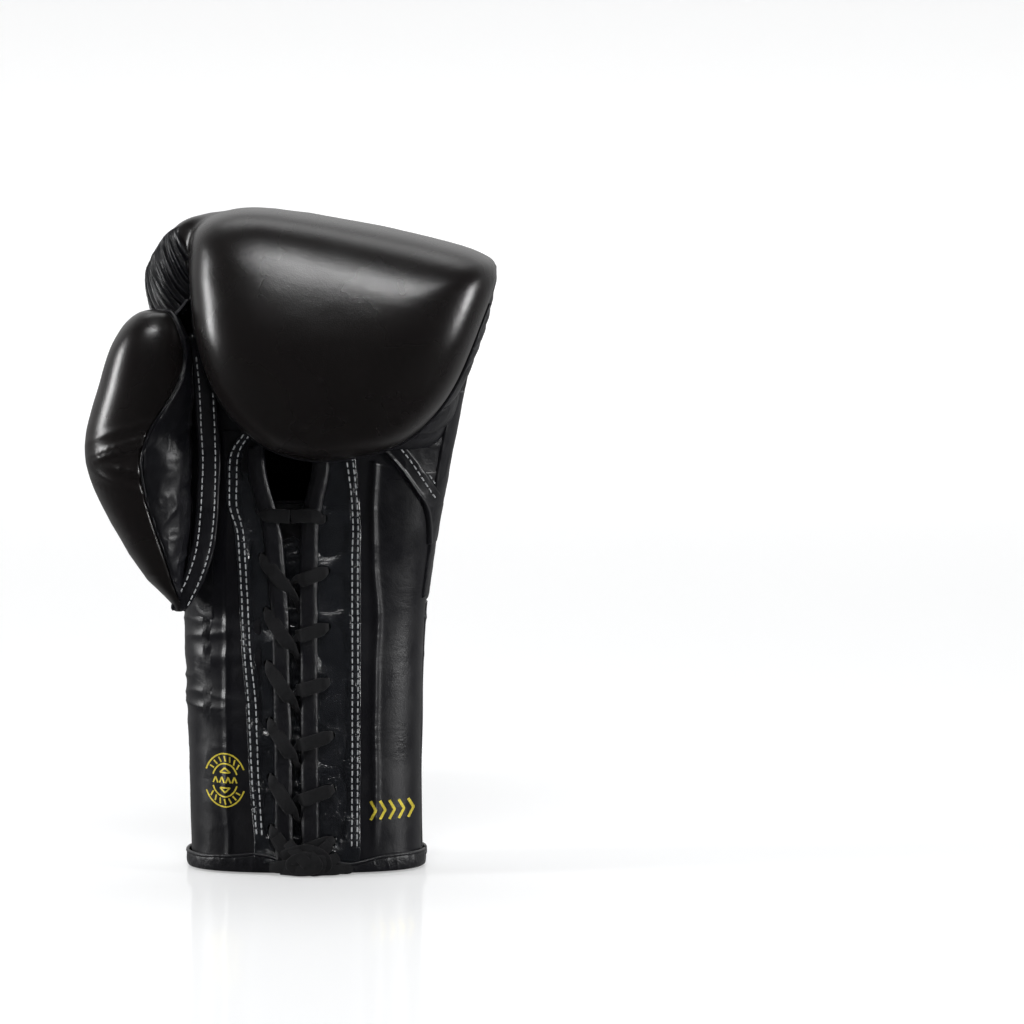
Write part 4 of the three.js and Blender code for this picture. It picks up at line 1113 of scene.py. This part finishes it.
def littleGusset():
    z = np.linspace(212, 303, 220)[:, None]
    share = np.linspace(0.25, 0.62, 600)
    right = outlinePoint(share)
    order = np.argsort(right[:, 1])
    edge = np.interp(z[:, 0], right[order, 1], right[order, 0])[:, None]
    far = handPoint(np.full(z.shape, 0.25), z, 4.5)
    near = np.stack([edge - 2.5, rimDepth(z) - 2.0, z], -1)
    bulge = 9.0 - 5.5 * smoothStep(z, 268, 298)
    control = np.stack([np.maximum(far[..., 0], edge) + bulge, np.full(z.shape, -30.0), z], -1)
    u = np.linspace(0, 1, 80)[None, :, None]
    grid = near * (1 - u) ** 2 + 2 * control * u * (1 - u) + far * u**2
    u = u[..., 0]
    phase = (grid[..., 2] - 26 * u * smoothStep(z, 215, 262)) / gussets["chunkEveryMm"]
    phase = phase + 0.4 * softNoise(grid * [0, 0, 1], 22, 141) + 0.22 * softNoise(grid, 14, 143)
    fold = np.abs(phase - np.round(phase)) * 2
    pillow = np.sqrt(np.clip(1 - fold**2.2, 0, 1))
    towardsEdges = np.sin(np.clip(u, 0, 1) * math.pi) ** 0.5
    relief = gussets["chunkMm"] * (pillow - 0.5) * smoothStep(z, 212, 232) * towardsEdges
    relief = relief + 0.15 * crumple(grid, 4, 142)
    piece = leatherSheet("littleGusset", grid, 1.3, panelLeather, "hand", ["little_gusset"],
                         relief=relief, inside=(60, 0, 260))
    blendPiece(piece, "hand", "fist", (88, -18, 260), (84, -42, 260))


indexGusset()
littleGusset()
rearGrid = frontPatch(-44, 78, 222, 262, 60, 30, -1.2)
rearLobe = np.stack([rearGrid[..., 0] * 0.62 + 8, rimDepth(rearGrid[..., 2]) - 0.4, rearGrid[..., 2]], -1)
leatherSheet("fistInnerPanel", rearLobe, 1.4, panelLeather, "fist",
             ["fist_inner_panel", "finger_pocket_lining"],
             relief=-0.3 * crumple(rearLobe, 9, 151), inside=(10, -80, 240))
print("gussets made")

# lining, tongue and hem
cavityRows = [
    (126, -51.5, 50.5, 0, -24, 25), (175, -51, 53, -3, -24, 27), (205, -50, 56, -6, -24, 30),
    (235, -49, 60, -10, -24, 33), (258, -48, 63, -14, -24, 34), (272, -47, 64, -18, -24, 32),
    (281, -44, 58, -21, -24, 25), (287, -36, 44, -23, -24, 12), (290.5, -6, 4, -24, -24, -20),
]


def makeLining():
    angle = np.linspace(0, 2 * math.pi, 140, endpoint=False)[None, :]
    z = np.linspace(1.2, 178, 120)[:, None]
    sleeve = handPoint(angle, z + 0 * angle, 8.2)
    creases = 0.6 * crumple(sleeve * [0.4, 0.4, 1], 12, 161) + 0.4 * softNoise(sleeve, 18, 162)
    leatherSheet("cuffLining", sleeve, 1.0, liningCloth, "hand", ["hand_lining", "cuff_pad",
                 "cuff_flap_pad"], ring=True, relief=-creases, inside=(0, 0, 60))
    upper = np.linspace(172, 289, 90)[:, None]
    share = np.linspace(-0.35, math.pi + 0.35, 100)[None, :]
    row = sampleRows(cavityRows, upper + 0 * share)
    left, right, middle, front, back = (row[..., k] for k in range(1, 6))
    x = (left + right) / 2 + (right - left) / 2 * swell(np.cos(share))
    y = middle + np.where(np.sin(share) < 0, middle - front, back - middle) * swell(np.sin(share))
    pocket = np.stack(np.broadcast_arrays(x, y, upper), -1)
    leatherSheet("fingerLining", pocket, 1.0, liningCloth, "hand", ["finger_lining"],
                 relief=0.5 * crumple(pocket, 14, 163), inside=(0, 0, 220))
    tongue = frontPatch(-30, 20, 2.5, 186, 50, 240, 5.4)
    quilt = 0.55 * np.abs(np.sin(tongue[..., 2] / 4.6 * math.pi + 0.5 * np.sin(tongue[..., 0] / 3))) ** 0.6
    relief = quilt + 0.8 * softNoise(tongue, 7, 164) + 0.5 * crumple(tongue, 5, 165)
    leatherSheet("laceTongue", tongue, 1.8, facingLeather, "hand", ["lace_tongue"],
                 relief=relief, inside=(0, 0, 90))
    edge = frontPatch(-24, 14, 186, 187, 60, 2, 4.6)[0]
    welt("tongueEdge", edge, 0.9, bindingLeather, "hand", guide=(0, 1, 0))


makeLining()
hem = {"heightMm": 8.6, "pipingMm": 0.95}


def hemStrip(name, start, end, body, topEdge, replaced):
    count = 260
    share = np.linspace(0, 1, count)
    angle = start + (end - start) * share
    x = handPoint(angle, 4.0)[:, 0]
    top = topEdge(angle, x)
    profile = [(9.5, 0.96), (8.9, 0.3), (8.2, 0.05), (4, 0.0), (0.6, 0.0), (-0.5, 0.06), (-0.9, 0.22),
               (-1.1, 0.5), (-1.1, 0.76), (-0.8, 0.93), (-0.3, 1.0)]
    fine = smoothPath([(a, b, 0) for a, b in profile], 4)[:, :2]
    rows = []
    for inset, rise in fine:
        z = 0.9 + rise * (top - 0.78)
        rows.append(handPoint(angle, np.maximum(z, 0.0), inset))
        rows[-1][:, 2] = z
    grid = np.array(rows)
    outside = smoothStep(-fine[:, :1], -0.2, 1.2)
    relief = outside * (0.32 * softNoise(grid, 9, 171) + 0.25 * crumple(grid * [1, 1, 0.5], 4, 172))
    piece = leatherSheet(name, grid, 0.7, bindingLeather, body, replaced, relief=relief,
                         inside=(0, 0, 6), edge=0.2)
    ridge = handPoint(angle, top, -0.7)
    ridge[:, 2] = top - 0.1
    pipe = welt(name + "Piping", ridge, hem["pipingMm"], bindingLeather, body,
                guide=(0, 0, 1))
    return piece, pipe


def hemTopThumb(angle, x):
    front = np.sin(angle) < 0
    rise = np.where(front, 1.6 * np.exp(-((x + 24) / 9) ** 2) - 2.2 * smoothStep(x, -18, -8), 0)
    return hem["heightMm"] + rise + 0.25 * np.sin(x / 7)


def hemTopOuter(angle, x):
    front = np.sin(angle) < 0
    dip = np.where(front, -3.4 * np.exp(-((x - 22) / 11) ** 2), 0)
    return hem["heightMm"] + 0.3 + dip + 0.2 * np.sin(x / 6)


hemStrip("hemBinding", -0.1 - 2 * math.pi, float(angleAtX(-7.5, 4.0)), "hand", hemTopThumb, ["hem_binding"])
hemStrip("hemBindingFlap", float(angleAtX(-1.0, 4.0)), -0.1, "cuff_flap", hemTopOuter, ["hem_binding_flap"])
print("lining and hem made")

# laces
lace = {"gapX": -4.2, "widthMm": 6.8, "thickMm": 1.3}
laceSection = roundSection(1.0, 1.0, 18, 3.2)


def laceRibbon(name, stations, replaced, body="hand", perSpan=9):
    table = np.array([list(at) + [half] + list(guide) for at, half, guide in stations], float)
    fine = curveThrough(table, np.linspace(0, 1, (len(table) - 1) * perSpan + 1))
    path, half, guide = fine[:, :3], fine[:, 3], fine[:, 4:]
    tangent = np.gradient(path, axis=0)
    tangent /= np.linalg.norm(tangent, axis=1, keepdims=True)
    normal = np.zeros_like(path)
    previous = np.array([0, -1.0, 0])
    for i in range(len(path)):
        carried = previous - tangent[i] * np.dot(previous, tangent[i])
        carried /= max(np.linalg.norm(carried), 1e-6)
        wanted = guide[i] - tangent[i] * np.dot(guide[i], tangent[i])
        size = np.linalg.norm(wanted)
        wanted = wanted / size if size > 0.2 else carried
        if np.dot(wanted, carried) < 0:
            wanted = -wanted
        mixed = carried * 0.6 + wanted * 0.4
        previous = normal[i] = mixed / np.linalg.norm(mixed)
    across = np.cross(tangent, normal)
    travelled = np.concatenate([[0], np.cumsum(np.linalg.norm(np.diff(path, axis=0), axis=1))])
    rows = []
    for i in range(len(path)):
        section = laceSection * [half[i], lace["thickMm"] / 2]
        rows.append(path[i] + across[i] * section[:, :1] + normal[i] * section[:, 1:])
    grid = np.array(rows)
    columns = grid.shape[1]
    faces = [(j * columns + i, (j + 1) * columns + i, (j + 1) * columns + (i + 1) % columns,
              j * columns + (i + 1) % columns) for j in range(len(path) - 1) for i in range(columns)]
    last = (len(path) - 1) * columns
    faces += [tuple(range(columns)), tuple(range(last, last + columns))[::-1]]
    piece = addPiece(name, grid.reshape(-1, 3), faces, laceCloth, body, replaced)
    layer = piece.data.uv_layers.new(name="weave")
    section = laceSection * [lace["widthMm"] / 2, lace["thickMm"] / 2]
    steps = np.diff(np.concatenate([section, section[:1]]), axis=0)
    around = np.concatenate([[0], np.cumsum(np.linalg.norm(steps, axis=1))])
    for polygon in piece.data.polygons:
        for corner, vertex in zip(polygon.loop_indices, polygon.vertices):
            j, i = divmod(vertex, columns)
            wrapped = columns if i == 0 and (columns - 1) in [k % columns for k in polygon.vertices] else i
            layer.data[corner].uv = (travelled[j] / 10, around[wrapped] / 10)
    return piece, float(travelled[-1])


def lacePoint(x, z, standOff, half, guide=(0, 1, 0)):
    at = handPoint(angleAtX(x, z), z)
    return (at + [0, -standOff, 0], half, guide)


def laceEnd(startsThumbSide):
    half = lace["widthMm"] / 2
    sign = -1 if startsThumbSide else 1
    holes = {True: eyeletsThumb, False: eyeletsOuter}
    rollX = {True: rollThumbX, False: rollOuterX}
    firstX, firstZ = holes[startsThumbSide][0]
    barZ = (eyeletsThumb[0][1] + eyeletsOuter[0][1]) / 2
    route = [lacePoint(-6.0 + sign * 0.4, barZ - 0.6, 3.6, half),
             lacePoint(float(rollX[startsThumbSide](barZ)), barZ, 3.9, half),
             lacePoint(firstX - sign * 2.0, firstZ, 2.0, half * 0.8),
             lacePoint(firstX - sign * 0.4, firstZ, 0.9, 2.1),
             lacePoint(firstX, firstZ, -1.2, 1.7, (0.7 * -sign, 0.7, 0))]
    level = 3.4 if startsThumbSide else 4.4
    route.append(lacePoint(firstX - sign * 2.4, firstZ - 2, -level, half * 0.9))
    thumbSide = startsThumbSide
    for k in range(1, 7):
        thumbSide = not thumbSide
        x, z = holes[thumbSide][k]
        inwards = 1 if thumbSide else -1
        roll = float(rollX[thumbSide](z))
        drop = 17.0 if thumbSide else 9.0
        gapZ = (eyeletsThumb[k][1] + eyeletsOuter[k][1]) / 2 - drop
        lastZ = route[-1][0][2]
        route.append(lacePoint(roll + inwards * 3, z * 0.4 + lastZ * 0.6, -3.4, half * 0.8))
        route.append(lacePoint(roll - inwards * 3, z * 0.8 + lastZ * 0.2, -3.8, half * 0.8))
        route.append(lacePoint(x + inwards * 2, z + 1, -3.4, 2.3))
        route.append(lacePoint(x - inwards * 0.3, z + 0.2, -0.6, 1.7, (0.7 * inwards, 0.7, 0)))
        for along, standOff, halfWide in ((x + inwards * 1.0, 1.6, 2.6), (x + inwards * 3.4, 2.3, half),
                                          (roll, 3.8, half), (roll + inwards * 3.2, 3.2, half)):
            height = z + (gapZ - z) * (along - x) / (lace["gapX"] - x)
            route.append(lacePoint(along, height, standOff, halfWide))
        if k == 6:
            break
        route.append(lacePoint(lace["gapX"], gapZ, -0.4, half * 0.8, (0.8 * inwards, 0.6, 0)))
    return route


laceLength = 0
for name, startsThumbSide in (("laceThumbEnd", True), ("laceOuterEnd", False)):
    node = "lace_end_thumb" if startsThumbSide else "lace_end_outer"
    piece, length = laceRibbon(name, laceEnd(startsThumbSide), [node])
    blendPiece(piece, "hand", "cuff_flap", (-9, 0, 90), (2, 0, 90))
    laceLength += length


def hemPoint(x, z, standOff, half=3.0, guide=(0, 1, 0)):
    return (handPoint(angleAtX(x, 8.0), 8.0) * [1, 1, 0] + [0, -standOff, max(z, half + 0.8)], half, guide)


knotStrands = [
    [hemPoint(-14, 20, 3.0), hemPoint(-9, 14, 4.0), hemPoint(-2, 9, 4.8), hemPoint(6, 6.5, 5.2),
     hemPoint(14, 4.5, 4.4), hemPoint(21, 3.2, 3.6, 2.4), hemPoint(24, 3.4, 3.0, 1.6)],
    [hemPoint(13, 16, 3.2), hemPoint(8, 12, 5.0), hemPoint(1, 8.6, 6.6), hemPoint(-6, 6.2, 6.4),
     hemPoint(-13, 4.6, 5.0), hemPoint(-17, 4.6, 3.6, 2.2)],
    [hemPoint(-11, 9.5, 3.6), hemPoint(-5, 12.5, 6.2, 3, (0, 1, 0.4)), hemPoint(2, 13.5, 7.4),
     hemPoint(9, 10.5, 7.0), hemPoint(11, 5.5, 6.6, 3, (0.3, 1, 0)), hemPoint(5, 2.6, 6.4),
     hemPoint(-3, 3.2, 7.6), hemPoint(-6, 7.0, 8.0), hemPoint(0, 10.0, 8.4), hemPoint(7, 8.4, 8.0),
     hemPoint(13, 8.2, 6.2), hemPoint(17, 10.0, 4.6, 2.2)],
    [hemPoint(-8, 17, 4.6, 2.8), hemPoint(-3.5, 12, 7.8, 2.8), hemPoint(1.5, 7.0, 9.2, 3),
     hemPoint(3.6, 3.2, 8.4), hemPoint(9, 2.0, 7.0), hemPoint(16, 2.2, 5.6, 2.6), hemPoint(20, 4.0, 4.4, 2.0)],
    [hemPoint(-2, 15, 3.6, 2.6), hemPoint(4, 10, 8.6, 2.9), hemPoint(6.4, 5.6, 9.0, 2.9),
     hemPoint(0, 2.9, 8.8, 2.9), hemPoint(-7, 2.8, 6.8, 2.7), hemPoint(-12, 2.6, 4.6, 2.0)],
]
for k, strand in enumerate(knotStrands):
    piece, length = laceRibbon("laceKnot%d" % (k + 1), strand, ["lace_knot"] if k == 0 else [], perSpan=12)
    blendPiece(piece, "hand", "cuff_flap", (-9, 0, 10), (2, 0, 10))
    laceLength += length
print("laces made, %.2f m of lace" % (laceLength / 1000))

# stitching and foil
stitching = {"pitchMm": 3.5, "dashMm": 2.3, "radiusMm": 0.36, "liftMm": 0.14}


def surfaceTree(pieces):
    points, faces = joined([(np.array([v.co for v in piece.data.vertices]),
                             [tuple(p.vertices) for p in piece.data.polygons]) for piece in pieces])
    return BVHTree.FromPolygons([tuple(p) for p in points], faces)


def ontoSurface(tree, x, z, fromY=-140.0):
    start = place((x, fromY, z))
    hit, normal, _, _ = tree.ray_cast(Vector(start), Vector((0, 1, 0)))
    if hit is None:
        return None, None
    normal = np.array(normal)
    return np.array(hit) * 1000 - gloveShift, -normal if normal[1] > 0 else normal


def resampled(path, step):
    path = np.asarray(path, float)
    run = np.concatenate([[0], np.cumsum(np.linalg.norm(np.diff(path, axis=0), axis=1))])
    at = np.arange(0, run[-1], step)
    return np.stack([np.interp(at, run, path[:, k]) for k in range(path.shape[1])], -1)


def stitchRow(name, path, tree, body, blendWith=None):
    step = stitching["pitchMm"]
    fine = resampled(smoothPath([(x, 0, z) for x, z in path], 12), step / 2)
    volumes = []
    half = stitching["dashMm"] / 2
    for k in range(0, len(fine) - 2, 2):
        before, after = fine[k], fine[k + 2]
        direction = (after - before) / max(np.linalg.norm(after - before), 1e-9)
        middle = fine[k + 1]
        ends = [ontoSurface(tree, *(middle + direction * half * s)[[0, 2]]) for s in (-1, 0, 1)]
        if any(hit is None for hit, _ in ends):
            continue
        (a, _), (m, normal), (b, _) = ends
        if np.linalg.norm(b - a) > half * 3.4:
            continue
        lift = stitching["liftMm"]
        wave = softNoise(middle[None], 1.3, 181)[0]
        route = np.array([a - normal * 0.35, a * 0.72 + m * 0.28 + normal * lift * 0.9,
                          m + normal * lift * 1.25, b * 0.72 + m * 0.28 + normal * lift * 0.9,
                          b - normal * 0.35])
        route[1:4, 0] += 0.08 * wave
        _, across, out = frames(route, np.broadcast_to(normal, route.shape))
        radius = stitching["radiusMm"]
        section = roundSection(radius, radius, 8)
        volumes.append(tubeGeometry(route, across, out, section))
    points, faces = joined(volumes)
    piece = addPiece(name, points, faces, stitchThread, body)
    if blendWith:
        blendPiece(piece, *blendWith)
    return piece


frontTree = surfaceTree([facingThumb, facingOuter, cuffOuterPanel, cuffThumbPanel, heelStrip, band])
openFlap = ("cuff_flap", "hand", (0, 0, 135), (0, 0, 196))
stitchRow("stitchFacingThumbOuter", seams["thumbOuter"], frontTree, "hand")
stitchRow("stitchFacingThumbInner", seams["thumbInner"], frontTree, "hand")
stitchRow("stitchFacingOuterInner", seams["outerInner"], frontTree, "hand", openFlap)
stitchRow("stitchFacingOuterOuter", seams["outerOuter"], frontTree, "hand", openFlap)
bandDepth = 41.5
heelLower = [(44.6, 212.5), (48, 209), (53.5, 201.5), (59.4, 192), (66.2, 181)]
heelUpper = [(48.8, 213.5), (52, 210), (57.4, 202.5), (62.8, 193.5), (68.6, 184)]
bandLeft = [(-54.6, 256), (-53, 240), (-52.2, 222), (-51.4, 204), (-52, 188.5), (-52.8, 176.5), (-54.6, 161),
            (-58.6, 147), (-64, 135.5)]
bandRight = [(-47.6, 256), (-46.4, 240), (-45.6, 222), (-45.2, 204), (-46, 179.5), (-48, 161), (-52.4, 146),
             (-57.6, 134.5), (-61.6, 127)]
stitchRow("stitchHeelLower", lieAt(heelLower, palm["heelDepth"]), frontTree, "hand")
stitchRow("stitchHeelUpper", lieAt(heelUpper, palm["heelDepth"]), frontTree, "hand")
stitchRow("stitchBandLeft", lieAt(bandLeft, bandDepth), frontTree, "hand")
stitchRow("stitchBandRight", lieAt(bandRight, bandDepth), frontTree, "hand")

foil = {"strokeMm": 0.75, "liftMm": 0.05}


def foilStrokes(name, strokes, tree, body, width, blendWith=None):
    points, faces = [], []
    for stroke in strokes:
        path = resampled(np.array([(x, 0, z) for x, z in stroke], float), 0.5)
        if len(path) < 2:
            continue
        path = np.concatenate([path, [[stroke[-1][0], 0, stroke[-1][1]]]])
        tangent = np.gradient(path, axis=0)
        tangent /= np.maximum(np.linalg.norm(tangent, axis=1, keepdims=True), 1e-9)
        side = np.stack([-tangent[:, 2], 0 * tangent[:, 0], tangent[:, 0]], -1)
        first = len(points)
        for p, s in zip(path, side):
            for share in (-1, 0, 1):
                x, _, z = p + s * share * width / 2
                hit, normal = ontoSurface(tree, x, z)
                points.append(hit + normal * foil["liftMm"])
        for k in range(len(path) - 1):
            for c in (0, 1):
                a = first + 3 * k + c
                faces.append((a, a + 1, a + 4, a + 3))
    piece = addPiece(name, points, faces, goldFoil, body)
    if blendWith:
        blendPiece(piece, *blendWith)
    return piece


def badgeStrokes(cx, cz):
    def ring(radius, sides, turn, stretch=1.0, part=1.0, start=0.0):
        angles = start + np.linspace(0, part, max(int(sides * part), 2) + 1) * 2 * math.pi + turn
        return [(cx + radius * math.cos(a), cz + radius * stretch * math.sin(a)) for a in angles]

    strokes = [ring(10.4, 48, 0.42, 1.28, 0.37), ring(10.4, 48, math.pi + 0.42, 1.28, 0.37)]
    strokes += [ring(6.4, 36, 0.35, 1.3, 0.39), ring(6.4, 36, math.pi + 0.35, 1.3, 0.39)]
    for side in (-1, 1):
        for k in range(7):
            a = side * math.pi / 2 + (k - 3) * 0.30
            strokes.append([(cx + r * math.cos(a + lean), cz + 1.28 * r * math.sin(a + lean))
                            for r, lean in ((7.3, -0.04), (9.5, 0.04))])
    for k in range(4):
        x = cx - 4.8 + k * 3.2
        strokes.append([(x - 1.2, cz - 1.4), (x, cz + 1.6), (x + 1.2, cz - 1.4)])
    strokes.append([(cx, cz + 6.2), (cx + 2.6, cz + 3.8), (cx - 2.6, cz + 3.8), (cx, cz + 6.2)])
    strokes.append([(cx, cz - 6.2), (cx + 2.6, cz - 3.8), (cx - 2.6, cz - 3.8), (cx, cz - 6.2)])
    return strokes


barStrokes = [[(32.8 + 4.6 * k, 27), (35.4 + 4.6 * k, 31.7), (32.8 + 4.6 * k, 36.4)] for k in range(5)]
foilStrokes("foilBadge", badgeStrokes(-39.6, 46.7), frontTree, "hand", foil["strokeMm"])
foilStrokes("foilBars", barStrokes, frontTree, "hand", 1.3, openFlap)
print("stitching and foil made")
